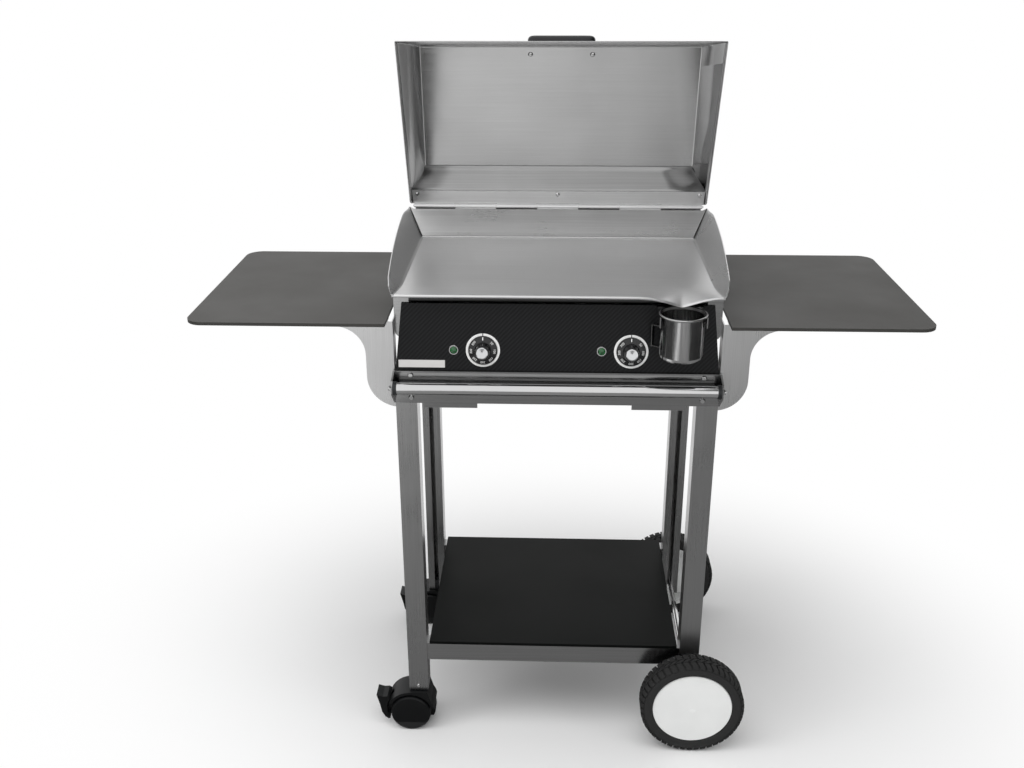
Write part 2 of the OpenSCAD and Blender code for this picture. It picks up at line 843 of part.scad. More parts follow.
module knob_cap(x) {
    color(chrome) on_fascia(x, knob_z) translate([0, 0, knob_h - 1]) rotate_extrude($fn = 64)
        polygon([
            [0, 0], [knob_cap_d / 2, 0], [knob_cap_d / 2, 2], [knob_cap_d / 2 - 0.6, 2.6],
            [knob_cap_d / 2 - 2, 2.8], [2, 2.3], [0, 2.2]
        ]);
}

module knob_cap_left() {
    knob_cap(-knob_x);
}

module knob_cap_right() {
    knob_cap(knob_x);
}

module thermostats() {
    color("#8d8a80") for (x = [-knob_x, knob_x])
        on_fascia(x, knob_z) difference() {
            union() {
                translate([-thermostat_size[0] / 2, -thermostat_size[1] / 2 + 2,
                           -fascia_t - thermostat_size[2]])
                    cube(thermostat_size);
            }
            translate([0, 0, -21]) cylinder(d = spindle_d + 2 * run_fit, h = 30);
        }
}

module pilot_bezels() {
    color(chrome) for (x = [-knob_x, knob_x])
        on_fascia(x - pilot_off, knob_z) difference() {
            union() {
                rotate_extrude()
                    polygon([
                        [pilot_d / 2 - 2.6, 0], [pilot_d / 2, 0], [pilot_d / 2 - 0.5, 1.6],
                        [pilot_d / 2 - 1.2, 2.2], [pilot_d / 2 - 2.6, 2.2]
                    ]);
                translate([0, 0, -12]) cylinder(d = pilot_d - 5.2, h = 12.4);
            }
            translate([0, 0, -10]) cylinder(d = pilot_d - 8, h = 20);
        }
}

module pilot_lenses() {
    color("#0d3a1c") for (x = [-knob_x, knob_x])
        on_fascia(x - pilot_off, knob_z) {
            translate([0, 0, -9]) cylinder(d = pilot_d - 8.2, h = 9.4);
            translate([0, 0, 0.4]) intersection() {
                translate([0, 0, 3 - 12]) sphere(r = 12);
                cylinder(d = pilot_d - 5.4, h = 6);
            }
        }
}

// Flat serpentine of heater tube pressed against the underside of the griddle
module heater() {
    y0 = pan_front_y + heater_ends[0];
    y1 = pan_back_y - heater_ends[1];
    z = pan_under_z - heater_d / 2;
    for (i = [0:3])
        y_bar(heater_d, y0, y1, heater_in + i * heater_pitch, z);
    for (i = [0, 2])
        translate([heater_in + (i + 0.5) * heater_pitch, y1, z]) rotate_extrude(angle = 180)
            translate([heater_pitch / 2, 0]) circle(d = heater_d, $fn = 24);
    translate([heater_in + 1.5 * heater_pitch, y0, z]) mirror([0, 1, 0]) rotate_extrude(angle = 180)
        translate([heater_pitch / 2, 0]) circle(d = heater_d, $fn = 24);
}

module heating_elements() {
    color("#4a4642") both_sides() heater();
}

// Places its children in the frame of the shut hood, turned to the open rest position:
// Y is forward from the hinge, Z is up
module in_hood() {
    translate([0, hinge_y, hinge_z]) rotate([-hood_turn, 0, 0]) mirror([0, 1, 0]) children();
}

// Half space bounded by the leaning side sheet, moved inwards by the given thickness
module hood_side_limit(inset) {
    n = [1, hood_taper, hood_side_lean] / norm([1, hood_taper, hood_side_lean]);
    translate([hood_fold_x, 0, hood_rear_h] - n * inset)
        rotate([0, -asin(n[2]), atan2(n[1], n[0])])
            translate([-half_space, -half_space / 2, -half_space / 2]) cube(half_space);
}

module hood_profile(inset) {
    s = hood_front_slope;
    fold = hood_top_d - inset * tan(s / 2);
    tip = hood_lip - [sin(s), cos(s)] * inset;
    run = [cos(s), -sin(s)];
    if (inset == 0)
        polygon([[0, 0], [0, hood_rear_h], [hood_top_d, hood_rear_h], hood_lip, [6, 4]]);
    else
        polygon([
            [inset, -60], [inset, hood_rear_h - inset], [fold, hood_rear_h - inset],
            tip + run * 40, [200, -160]
        ]);
}

// Folded shell, with an inner flange along the hinge that the leaf is bolted to
module hood_shell() {
    z0 = strip_z + strip_t;
    color(steel) in_hood() difference() {
        union() {
            difference() {
                intersection() {
                    along_x(2 * frame_w) hood_profile(0);
                    hood_side_limit(0);
                    mirror([1, 0, 0]) hood_side_limit(0);
                }
                intersection() {
                    along_x(2 * frame_w) hood_profile(hood_t);
                    hood_side_limit(hood_t);
                    mirror([1, 0, 0]) hood_side_limit(hood_t);
                }
                block(-frame_w, frame_w, -cut, barrel_d, -100, z0);
            }
            block(-strip_x + 3, strip_x - 3, 0, strip_d - 2, z0, z0 + hood_t);
        }
        for (x = [-handle_pitch / 2, handle_pitch / 2])
            translate([x, handle_at, hood_rear_h - 10]) cylinder(d = 5.4, h = 20);
        for (x = [-strip_bolt_x, 0, strip_bolt_x])
            translate([x, strip_bolt_out, 0]) cylinder(d = 5.4, h = z0 + hood_t + cut);
    }
}

// Post outside the hood with the screw that holds it from the inside
module hood_handle_posts() {
    color(black) in_hood()
        for (x = [-handle_pitch / 2, handle_pitch / 2])
            translate([x, handle_at, hood_rear_h]) {
                difference() {
                    cylinder(d = post_d, h = grip_out);
                    translate([-grip_l, 0, grip_out]) rotate([0, 90, 0])
                        cylinder(d = grip_d + 2 * 0.1, h = 2 * grip_l);
                }
                cylinder(d1 = post_d + 6, d2 = post_d, h = 4);
                translate([0, 0, -hood_t - 2]) cylinder(d = 5, h = hood_t + 4);
                translate([0, 0, -hood_t - 2.5]) cylinder(d1 = 6, d2 = 9, h = 2.5);
            }
}

module hood_handle_grip() {
    color(black) in_hood() translate([-grip_l / 2, handle_at, hood_rear_h + grip_out]) rotate([0, 90, 0])
        rotate_extrude()
            polygon([
                [0, 0], [grip_d / 2 - 4, 0], [grip_d / 2 - 1.2, 1.2], [grip_d / 2, 4],
                [grip_d / 2, grip_l - 4], [grip_d / 2 - 1.2, grip_l - 1.2], [grip_d / 2 - 4, grip_l],
                [0, grip_l]
            ]);
}

// Barrel of the piano hinge; even knuckles belong to the hood, odd ones to the griddle
module hinge_barrel(first) {
    step = barrel_l / knuckles;
    for (i = [first:2:knuckles - 1])
        x_bar(barrel_d, -barrel_l / 2 + i * step + knuckle_gap / 2,
              -barrel_l / 2 + (i + 1) * step - knuckle_gap / 2, hinge_y, hinge_z);
}

module hinge_bore(fit) {
    x_bar(hinge_pin_d + 2 * fit, -frame_w, frame_w, hinge_y, hinge_z);
}

// Leaf bolted under the inner flange of the hood, with tabs out to its knuckles
module hinge_leaf_hood() {
    step = barrel_l / knuckles;
    edge = barrel_d / 2 + 1;
    color(steel) difference() {
        union() {
            in_hood() translate([0, 0, strip_z]) linear_extrude(strip_t) difference() {
                union() {
                    translate([-strip_x, edge]) square([2 * strip_x, strip_d - edge]);
                    for (i = [0:2:knuckles - 1])
                        translate([-barrel_l / 2 + i * step + 2, 0]) square([step - 4, 2 * edge]);
                }
                for (x = [-strip_bolt_x, 0, strip_bolt_x])
                    translate([x, strip_bolt_out]) circle(d = 5.4);
            }
            hinge_barrel(0);
        }
        hinge_bore(run_fit);
    }
}

module hinge_pin() {
    color(chrome) x_bar(hinge_pin_d, -barrel_l / 2 - 2, barrel_l / 2 + 2, hinge_y, hinge_z);
}

// Leaf behind the back wall of the griddle, with tabs up to its knuckles
module hinge_leaf_pan() {
    step = barrel_l / knuckles;
    lean = atan(back_lean);
    top_z = pan_z + back_wall_h;
    color(steel) difference() {
        union() {
            translate([0, hinge_y, top_z]) rotate([-lean, 0, 0])
                block(-barrel_l / 2, barrel_l / 2, leaf_off, leaf_off + strip_t, -leaf_drop, -1);
            for (i = [1:2:knuckles - 1])
                block(-barrel_l / 2 + i * step + knuckle_gap / 2,
                      -barrel_l / 2 + (i + 1) * step - knuckle_gap / 2,
                      hinge_y + leaf_off, hinge_y + leaf_off + strip_t,
                      top_z - 3, hinge_z - (barrel_d + hinge_pin_d) / 4);
            hinge_barrel(1);
        }
        hinge_bore(run_fit);
    }
}

module strip_bolts() {
    grip = strip_t + hood_t;
    color(chrome) in_hood() for (x = [-strip_bolt_x, 0, strip_bolt_x])
        translate([x, strip_bolt_out, strip_z]) {
            cylinder(d = 5, h = grip + 4);
            translate([0, 0, -2.8]) cylinder(d1 = 6, d2 = 9.5, h = 2.8);
            translate([0, 0, grip]) cylinder(d = 9, h = 3, $fn = 6);
        }
}

module grease_cup() {
    r = cup_d / 2;
    color(chrome) translate([cup_x, cup_y, cup_low_z]) {
        difference() {
            union() {
                rotate_extrude($fn = 96)
                    polygon([
                        [0, 0], [r - 8, 0], [r - 3.5, 1.6], [r - 1, 4.5], [r, 9],
                        [r, cup_h - 5], [cup_rim_d / 2 - rim_bead / 2, cup_h - 2],
                        [cup_rim_d / 2 - rim_bead / 2, cup_h], [0, cup_h]
                    ]);
                translate([0, 0, cup_h - rim_bead / 2]) rotate_extrude($fn = 96)
                    translate([(cup_rim_d - rim_bead) / 2, 0]) circle(d = rim_bead, $fn = 20);
            }
            rotate_extrude($fn = 96)
                polygon([
                    [0, 1.2], [r - 8, 1.2], [r - 4, 2.8], [r - 2, 5.2], [r - cup_t, 9.4],
                    [r - cup_t, cup_h - 5.4], [cup_rim_d / 2 - rim_bead, cup_h - 1.4],
                    [cup_rim_d / 2 - rim_bead, cup_h + cut], [0, cup_h + cut]
                ]);
        }
        rotate([0, 0, 147]) translate([r - 1, 0, 12]) {
            translate([0, -4.5, 0]) cube([19, 9, 2]);
            translate([0, -4.5, 40]) cube([19, 9, 2]);
            translate([19, -4.5, 0]) cube([2, 9, 42]);
        }
    }
}

// Fork that carries the cup by its rim
module cup_hanger() {
    xi = cup_d / 2 + arm_gap;
    y1 = fascia_y_at(hanger_top_z - hanger_h) - 0.1;
    z0 = hanger_top_z - hanger_h;
    color(dark_steel) difference() {
        union() {
            for (s = [-1, 1]) {
                block(cup_x + (s > 0 ? xi : -xi - hanger_t), cup_x + (s > 0 ? xi + hanger_t : -xi),
                      cup_y - 16, y1 + 4, z0, hanger_top_z);
                block(cup_x + (s > 0 ? xi : -xi - hanger_t), cup_x + (s > 0 ? xi + hanger_t : -xi),
                      cup_y - 16, cup_y - 10, z0 - 9, hanger_top_z);
            }
            block(cup_x - xi - hanger_t, cup_x + xi + hanger_t, y1 - 6, y1 + 4, z0, hanger_top_z);
        }
        along_x(2 * frame_w)
            polygon([
                [fascia_y_at(z0 - 20) - 0.1, z0 - 20], [fascia_y_at(z0 - 20) + 60, z0 - 20],
                [fascia_y_at(hanger_top_z + 10) + 60, hanger_top_z + 10],
                [fascia_y_at(hanger_top_z + 10) - 0.1, hanger_top_z + 10]
            ]);
        translate([cup_x, cup_y, z0 - cut]) cylinder(d = cup_d + 2, h = hanger_h + 4);
    }
}

module wheel_axle() {
    y0 = wheel_front_y - tyre_w / 2 + 10;
    y1 = wheel_rear_y + tyre_w / 2 - 10;
    color(chrome) {
        y_bar(axle_d, y0, y1, axle_x, axle_z);
        front_and_rear() {
            y_bar(axle_d + 10, y0, y0 + 2, axle_x, axle_z);
            y_bar(axle_d + 10, front_y - collar_t - 0.2, front_y - 0.2, axle_x, axle_z);
        }
    }
}

// Solid rubber tyre with square shoulders; the bead seats in the rim of the disc
module tyre(y) {
    r = wheel_d / 2;
    ri = disc_d / 2;
    w = tyre_w / 2;
    translate([axle_x, y, axle_z]) rotate([90, 0, 0]) rotate_extrude($fn = 128)
        polygon([
            [ri, -w + 6], [ri + 4, -w], [r - 8, -w], [r - 5, -w + 1], [r - 1, -w + 5], [r, -w + 9],
            [r, w - 9], [r - 1, w - 5], [r - 5, w - 1], [r - 8, w], [ri + 4, w], [ri, w - 6]
        ]);
}

// Wheel disc, open towards the leg: rim, hub with its bore and a closed outer face
module wheel_disc(y, out) {
    r = disc_d / 2 - 0.1;
    w = tyre_w / 2 - 4;
    bore = axle_d / 2 + run_fit;
    translate([axle_x, y, axle_z]) rotate([out * 90, 0, 0]) {
        rotate_extrude($fn = 128)
            polygon([
                [0, w - disc_t + 1], [r - disc_t, w - disc_t], [r - disc_t, -w], [r, -w],
                [r, w - 1], [r - 1, w], [r - 5, w - 0.4], [0, w + 1]
            ]);
        rotate_extrude()
            polygon([
                [bore, -hub_inner()], [hub_d / 2, -hub_inner()], [hub_d / 2, w - disc_t - 7],
                [bore, w - disc_t - 7]
            ]);
        rotate_extrude()
            polygon([
                [axle_d / 2 + 8, w - disc_t - 8], [hub_d / 2, w - disc_t - 8], [hub_d / 2, w - disc_t + 1],
                [axle_d / 2 + 8, w - disc_t + 1]
            ]);
    }
}

function hub_inner() = tyre_w / 2 + wheel_gap - collar_t - 0.2 - side_fit;

module wheel_front_tyre() {
    color(black) tyre(wheel_front_y);
}

module wheel_rear_tyre() {
    color(black) tyre(wheel_rear_y);
}

module wheel_front_disc() {
    color(pale_grey) wheel_disc(wheel_front_y, 1);
}

module wheel_rear_disc() {
    color(pale_grey) wheel_disc(wheel_rear_y, -1);
}

// Plug in the lower end of each left leg, with the bore for the castor stem
module castor_plugs() {
    w = leg_w - 2 * sheet_t - 0.4;
    d = leg_d - 2 * sheet_t - 0.4;
    color(black) front_and_rear() difference() {
        union() {
            translate([castor_x - w / 2, front_y + sheet_t + 0.2, leg_foot_z - 1]) cube([w, d, plug_h]);
            translate([castor_x - leg_w / 2 + 1, front_y + 1, leg_foot_z - 2])
                cube([leg_w - 2, leg_d - 2, 1.8]);
        }
        translate([castor_x, front_leg_y(), leg_foot_z - 5])
            cylinder(d = stem_d + 2 * run_fit, h = plug_h + 10);
        y_bar(bolt_d, front_y, front_y + sheet_t + plug_t + 0.2, castor_x, axle_z);
    }
}

// Outline of the castor hood round the wheel axis: round at the back, upright under the stem
module castor_outline(low_back, low_front) {
    top = leg_foot_z - 2 - side_fit - castor_axle_z;
    intersection() {
        union() {
            circle(r = hood_r);
            polygon([[0, 0], [hood_r - 3, 10], [castor_trail + 18, top], [0, top]]);
        }
        polygon([
            [-hood_r, low_back], [0, low_back], [20, low_front], [hood_r, low_front],
            [hood_r, top], [-hood_r, top]
        ]);
    }
}

// Hood and stem of a castor: a shell over the twin wheels, trailing to the left
module castor_body(y) {
    ax = castor_x - castor_trail;
    top_z = leg_foot_z - 2 - side_fit;
    wide = castor_w / 2 - 4;
    color(black) y_bar(pedal_pin_d, y - hood_w / 2, y + hood_w / 2, pedal_pin_x, castor_axle_z);
    color(black) difference() {
        union() {
            translate([ax, 0, castor_axle_z]) {
                along_y(y - hood_w / 2, y + hood_w / 2) castor_outline(-22, -22);
                along_y(y - wide, y + wide) castor_outline(22, 10);
            }
            translate([castor_x, y, top_z - 1]) cylinder(d = stem_d, h = plug_h - 1);
        }
        for (s = [-1, 1])
            y_bar(castor_d + 6, s > 0 ? y + hood_w / 2 : y - castor_w, s > 0 ? y + castor_w : y - hood_w / 2,
                  ax, castor_axle_z);
        y_bar(castor_axle_d + 2 * run_fit, y - castor_w, y + castor_w, ax, castor_axle_z);
        block(ax - hood_r - cut, ax - hood_r + 14, y - pedal_slot / 2, y + pedal_slot / 2,
              castor_axle_z - 30, castor_axle_z + 34);
        block(ax - hood_r - cut, ax - hood_r + 11, y - hood_w, y + hood_w,
              castor_axle_z - 30, castor_axle_z - 5);
    }
}

module castor_wheels(y) {
    ax = castor_x - castor_trail;
    color(black) {
        for (s = [-1, 1])
            translate([ax, y + s * (castor_w - castor_wheel_t) / 2, castor_axle_z]) rotate([90, 0, 0])
                rotate_extrude($fn = 96)
                    polygon([
                        [0, -castor_wheel_t / 2], [castor_d / 2 - 4, -castor_wheel_t / 2],
                        [castor_d / 2 - 1, -castor_wheel_t / 2 + 2], [castor_d / 2, -castor_wheel_t / 2 + 6],
                        [castor_d / 2, castor_wheel_t / 2 - 6], [castor_d / 2 - 1, castor_wheel_t / 2 - 2],
                        [castor_d / 2 - 4, castor_wheel_t / 2], [0, castor_wheel_t / 2]
                    ]);
        y_bar(castor_axle_d, y - castor_w / 2 + 2, y + castor_w / 2 - 2, ax, castor_axle_z);
    }
}

// Brake pedal: a narrow web in the slot of the hood, and a wide curved paddle behind it
module castor_pedal(y) {
    w = pedal_slot - 2 * side_fit;
    r = hood_r + 1.5;
    pin = -hood_r + 5;
    color(black) translate([castor_x - castor_trail, 0, castor_axle_z]) difference() {
        union() {
            along_y(y - w / 2, y + w / 2) {
                translate([pin, 0]) circle(r = 6);
                translate([-r - 4, -5]) square([r + 4 + pin, 10]);
            }
            along_y(y - pedal_w / 2, y + pedal_w / 2) difference() {
                polygon([
                    [-r + 8, 28], [-r + 2, 32], [-r - 8, 31], [-r - 21, 35], [-r - 18, 24],
                    [-r - 14, 8], [-r - 11, -8], [-r - 5, -20], [-r + 2, -26], [-r + 8, -24]
                ]);
                circle(r = r, $fn = 96);
            }
        }
        y_bar(pedal_pin_d + 2 * run_fit, y - w, y + w, pin, 0);
    }
}

module castor_front_body() {
    castor_body(front_leg_y());
}

module castor_rear_body() {
    castor_body(rear_leg_y());
}

module castor_front_wheels() {
    castor_wheels(front_leg_y());
}

module castor_rear_wheels() {
    castor_wheels(rear_leg_y());
}

module castor_front_pedal() {
    castor_pedal(front_leg_y());
}

module castor_rear_pedal() {
    castor_pedal(rear_leg_y());
}

griddle_pan();
housing();
fascia();
blank_plate();
dial_rings();
knob_left();
knob_right();
knob_cap_left();
knob_cap_right();
thermostats();
pilot_bezels();
pilot_lenses();
heating_elements();
housing_feet();
power_gland();
hood_shell();
hood_handle_grip();
hood_handle_posts();
hinge_leaf_hood();
hinge_pin();
hinge_leaf_pan();
strip_bolts();
grease_cup();
cup_hanger();
front_apron();
rear_apron();
side_rail_left();
side_rail_right();
leg_front_left();
leg_front_right();
leg_rear_left();
leg_rear_right();
lower_shelf();
lower_rail_front();
lower_rail_rear();
towel_bar();
bar_bushes();
bar_nuts();
frame_bolts();
shelf_left();
shelf_right();
bracket_front_left();
bracket_front_right();
bracket_rear_left();
bracket_rear_right();
wheel_axle();
wheel_front_tyre();
wheel_front_disc();
wheel_rear_tyre();
wheel_rear_disc();
castor_plugs();
castor_front_body();
castor_front_wheels();
castor_front_pedal();
castor_rear_body();
castor_rear_wheels();
castor_rear_pedal();
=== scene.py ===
"""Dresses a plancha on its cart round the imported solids: finishes, fine pieces, light and camera.

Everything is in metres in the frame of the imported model: X to the right, Y to the back, Z up,
and the floor at Z = 0. Sizes in the classes below are millimetres where their names end in _mm.
"""

from __future__ import annotations

import json
import logging
import math
from dataclasses import dataclass
from enum import Enum
from typing import Any, Mapping, Sequence

import bmesh
import bpy
from mathutils import Matrix, Vector

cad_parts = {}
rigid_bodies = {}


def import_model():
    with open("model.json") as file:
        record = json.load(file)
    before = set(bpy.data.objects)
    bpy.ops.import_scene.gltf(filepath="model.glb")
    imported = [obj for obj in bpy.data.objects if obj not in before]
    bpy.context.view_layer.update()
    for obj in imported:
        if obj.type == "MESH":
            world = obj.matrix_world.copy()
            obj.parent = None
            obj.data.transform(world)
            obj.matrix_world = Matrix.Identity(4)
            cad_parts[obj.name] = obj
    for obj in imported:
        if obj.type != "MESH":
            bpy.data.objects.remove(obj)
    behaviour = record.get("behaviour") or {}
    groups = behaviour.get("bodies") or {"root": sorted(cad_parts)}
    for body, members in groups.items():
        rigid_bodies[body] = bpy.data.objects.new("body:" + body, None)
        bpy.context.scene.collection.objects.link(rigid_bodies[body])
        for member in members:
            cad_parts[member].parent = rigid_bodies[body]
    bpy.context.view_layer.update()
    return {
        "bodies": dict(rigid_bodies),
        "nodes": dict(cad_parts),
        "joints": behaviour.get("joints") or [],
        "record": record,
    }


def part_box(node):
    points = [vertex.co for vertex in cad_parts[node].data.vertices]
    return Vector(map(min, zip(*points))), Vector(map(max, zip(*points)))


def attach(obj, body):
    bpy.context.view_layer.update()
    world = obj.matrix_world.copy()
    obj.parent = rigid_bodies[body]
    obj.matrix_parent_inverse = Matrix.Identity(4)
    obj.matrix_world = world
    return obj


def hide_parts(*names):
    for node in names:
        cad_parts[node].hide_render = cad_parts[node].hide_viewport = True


LOG = logging.getLogger("plancha")
MM = 0.001
NOISE_SPAN = (0.3, 0.7)  # the part of a noise's values that shows
RANGE_ENDS = ("From Min", "From Max", "To Min", "To Max")
ROD_FACETS = 16
SHARP_ABOVE = math.radians(38)
DIAL_X_MM = 136.0

Tree, Node, Socket = bpy.types.NodeTree, bpy.types.Node, bpy.types.NodeSocket
Material, Object = bpy.types.Material, bpy.types.Object
Mesh, Rows = bmesh.types.BMesh, Sequence[Sequence[bmesh.types.BMVert]]
Profile = Sequence[tuple[float, float]]


class Brush(Enum):
    """Direction in which a sheet was brushed."""

    ALONG_X = (1, 0, 0)
    ALONG_Z = (0, 0, 1)

    def stretch(self, line_mm: float, grit_mm: float) -> tuple[float, float, float]:
        """Gives the texture scale that draws lines along the brushing.

        Args:
            line_mm: Length of one line.
            grit_mm: Distance between lines.

        Returns:
            Scale for X, Y and Z, in cycles a metre.
        """
        return tuple(1 / ((line_mm if way else grit_mm) * MM) for way in self.value)


def linear(colour: str) -> tuple[float, float, float, float]:
    """Turns an sRGB hex colour into Blender's linear numbers.

    Args:
        colour: Six hex digits after a #.

    Returns:
        Red, green, blue and an alpha of one.
    """
    parts = [int(colour[i : i + 2], 16) / 255 for i in (1, 3, 5)]
    return (*(c / 12.92 if c <= 0.04045 else ((c + 0.055) / 1.055) ** 2.4 for c in parts), 1.0)


def add_node(
    tree: Tree,
    kind: str,
    settings: Mapping[str, Any] | None = None,
    values: Mapping[str | int, Any] | None = None,
    links: Mapping[str | int, Socket] | None = None,
) -> Node:
    """Adds a node with its settings and links.

    Args:
        tree: Tree that gets the node.
        kind: Blender's name of the node type, without its ShaderNode.
        settings: Attributes of the node.
        values: Constants for its sockets, by name or number.
        links: Sockets of other nodes that feed its own, by name or number.

    Returns:
        The new node.
    """
    node = tree.nodes.new("ShaderNode" + kind)
    for name, value in (settings or {}).items():
        setattr(node, name, value)
    for name, value in (values or {}).items():
        node.inputs[name].default_value = value
    for name, source in (links or {}).items():
        tree.links.new(source, node.inputs[name])
    return node


def even(per_m: float) -> tuple[float, float, float]:
    """Gives a texture scale that is the same along X, Y and Z."""
    return per_m, per_m, per_m


@dataclass(frozen=True)
class Grain:
    """One noise of a finish, and what it changes there."""

    scale: tuple[float, float, float]  # cycles a metre along X, Y and Z
    detail: float
    tone: tuple[float, ...] = ()  # least and most that it gives of the second colour
    tone_span: tuple[float, float] = NOISE_SPAN
    wear: tuple[float, ...] = ()  # least and most that it gives to the roughness
    relief: tuple[float, ...] = ()  # real depth in millimetres, and strength


@dataclass(frozen=True)
class Finish:
    """One surface finish; its material is made once."""

    name: str
    colour: str
    roughness: float
    light: str = ""  # its second colour, if it has one
    metallic: float = 0.0
    coat: float = 0.0
    coat_roughness: float = 0.08
    gloss: float = 0.5

    def material(self) -> Material:
        """Makes the material the first time and gives it back after that.

        Returns:
            The material.
        """
        made = bpy.data.materials.get(self.name)
        if made is not None:
            return made
        made = bpy.data.materials.new(self.name)
        made.use_nodes = True
        tree = made.node_tree
        tree.nodes.clear()
        values = {
            "Base Color": linear(self.colour),
            "Roughness": self.roughness,
            "Metallic": self.metallic,
            "Coat Weight": self.coat,
            "Coat Roughness": self.coat_roughness,
            "Specular IOR Level": self.gloss,
        }
        shader = add_node(tree, "BsdfPrincipled", values=values)
        add_node(tree, "OutputMaterial", links={"Surface": shader.outputs["BSDF"]})
        self.dress(tree, shader)
        return made

    def grains(self) -> tuple[Grain, ...]:
        """Gives the noises of the finish; a plain one has none."""
        return ()

    def worn(self, down: float, up: float) -> tuple[float, float]:
        """Gives roughness from so far below the finish's own to so far above it."""
        return self.roughness - down, self.roughness + up

    def dress(self, tree: Tree, shader: Node) -> None:
        """Adds the finish's noises, which stay with the piece, to its shader.

        Args:
            tree: Tree of the material.
            shader: Its shader.
        """
        sums: dict[str, Socket] = {}
        for grain in self.grains():
            place = {"Vector": add_node(tree, "TexCoord").outputs["Object"]}
            mapped = add_node(tree, "Mapping", values={"Scale": grain.scale}, links=place)
            links = {"Vector": mapped.outputs["Vector"]}
            values = {"Scale": 1.0, "Detail": grain.detail}
            noise = add_node(tree, "TexNoise", values=values, links=links).outputs[0]
            ranges = {"tone": (*grain.tone_span, *grain.tone), "wear": (*NOISE_SPAN, *grain.wear)}
            for feed, ends in ranges.items():
                if len(ends) < len(RANGE_ENDS):
                    continue
                values = dict(zip(RANGE_ENDS, ends))
                found = add_node(tree, "MapRange", values=values, links={"Value": noise}).outputs[0]
                if feed in sums:
                    terms = {0: sums[feed], 1: found}
                    found = add_node(tree, "Math", {"operation": "ADD"}, links=terms).outputs[0]
                sums[feed] = found
            if grain.relief:
                self.feed(tree, shader, height=noise, relief=grain.relief)
        self.feed(tree, shader, sums.get("tone"), sums.get("wear"))

    def feed(
        self,
        tree: Tree,
        shader: Node,
        tone: Socket | None = None,
        wear: Socket | None = None,
        height: Socket | None = None,
        relief: Sequence[float] = (),
    ) -> None:
        """Feeds the shader its colour, its roughness or its relief.

        Args:
            tree: Tree of the material.
            shader: Its shader.
            tone: Socket with the share of the second colour.
            wear: Socket with the roughness.
            height: Socket with the height, 0 to 1.
            relief: Real depth of a height of 1 in millimetres, and strength.
        """
        if tone is not None:
            colours = {6: linear(self.colour), 7: linear(self.light)}
            mix = add_node(tree, "Mix", {"data_type": "RGBA"}, colours, {0: tone})
            tree.links.new(mix.outputs[2], shader.inputs["Base Color"])
        if wear is not None:
            tree.links.new(wear, shader.inputs["Roughness"])
        if height is not None:
            values = {"Distance": relief[0] * MM, "Strength": relief[1]}
            bump = add_node(tree, "Bump", values=values, links={"Height": height})
            tree.links.new(bump.outputs["Normal"], shader.inputs["Normal"])


@dataclass(frozen=True)
class BrushedSteel(Finish):
    """AISI 304 sheet brushed one way: fine lines that catch the light, and faint cloudy wear."""

    metallic: float = 1.0
    brush: Brush = Brush.ALONG_X
    line_mm: float = 90.0
    grit_mm: float = 1.3  # really about 0.1, drawn as coarse as the picture can show
    spread: float = 0.06
    relief_mm: float = 0.02

    def grains(self) -> tuple[Grain, ...]:
        """Gives brush lines in colour, roughness and relief, and clouds in the roughness.

        Returns:
            The two noises.
        """
        lines = self.brush.stretch(self.line_mm, self.grit_mm)
        wear = (-self.spread / 2, self.spread / 2)
        return (
            Grain(lines, 4.0, tone=(0.0, 1.0), wear=wear, relief=(self.relief_mm, 0.5)),
            Grain(even(9.0), 3.0, wear=self.worn(down=0.04, up=0.05)),
        )


@dataclass(frozen=True)
class PolishedSteel(Finish):
    """Bright polished or drawn stainless: nearly a mirror, with hair lines and soft waviness."""

    metallic: float = 1.0
    brush: Brush = Brush.ALONG_X
    hair_mm: tuple[float, float] = (60.0, 1.5)  # length and spacing, really about 0.2 apart

    def grains(self) -> tuple[Grain, ...]:
        """Gives hair lines in the roughness and a shallow waviness in the relief.

        Returns:
            The two noises.
        """
        wear = (self.roughness * 0.6, self.roughness * 1.6)
        return (
            Grain(self.brush.stretch(*self.hair_mm), 3.0, wear=wear),
            Grain(even(22.0), 2.0, relief=(0.12, 0.35)),
        )


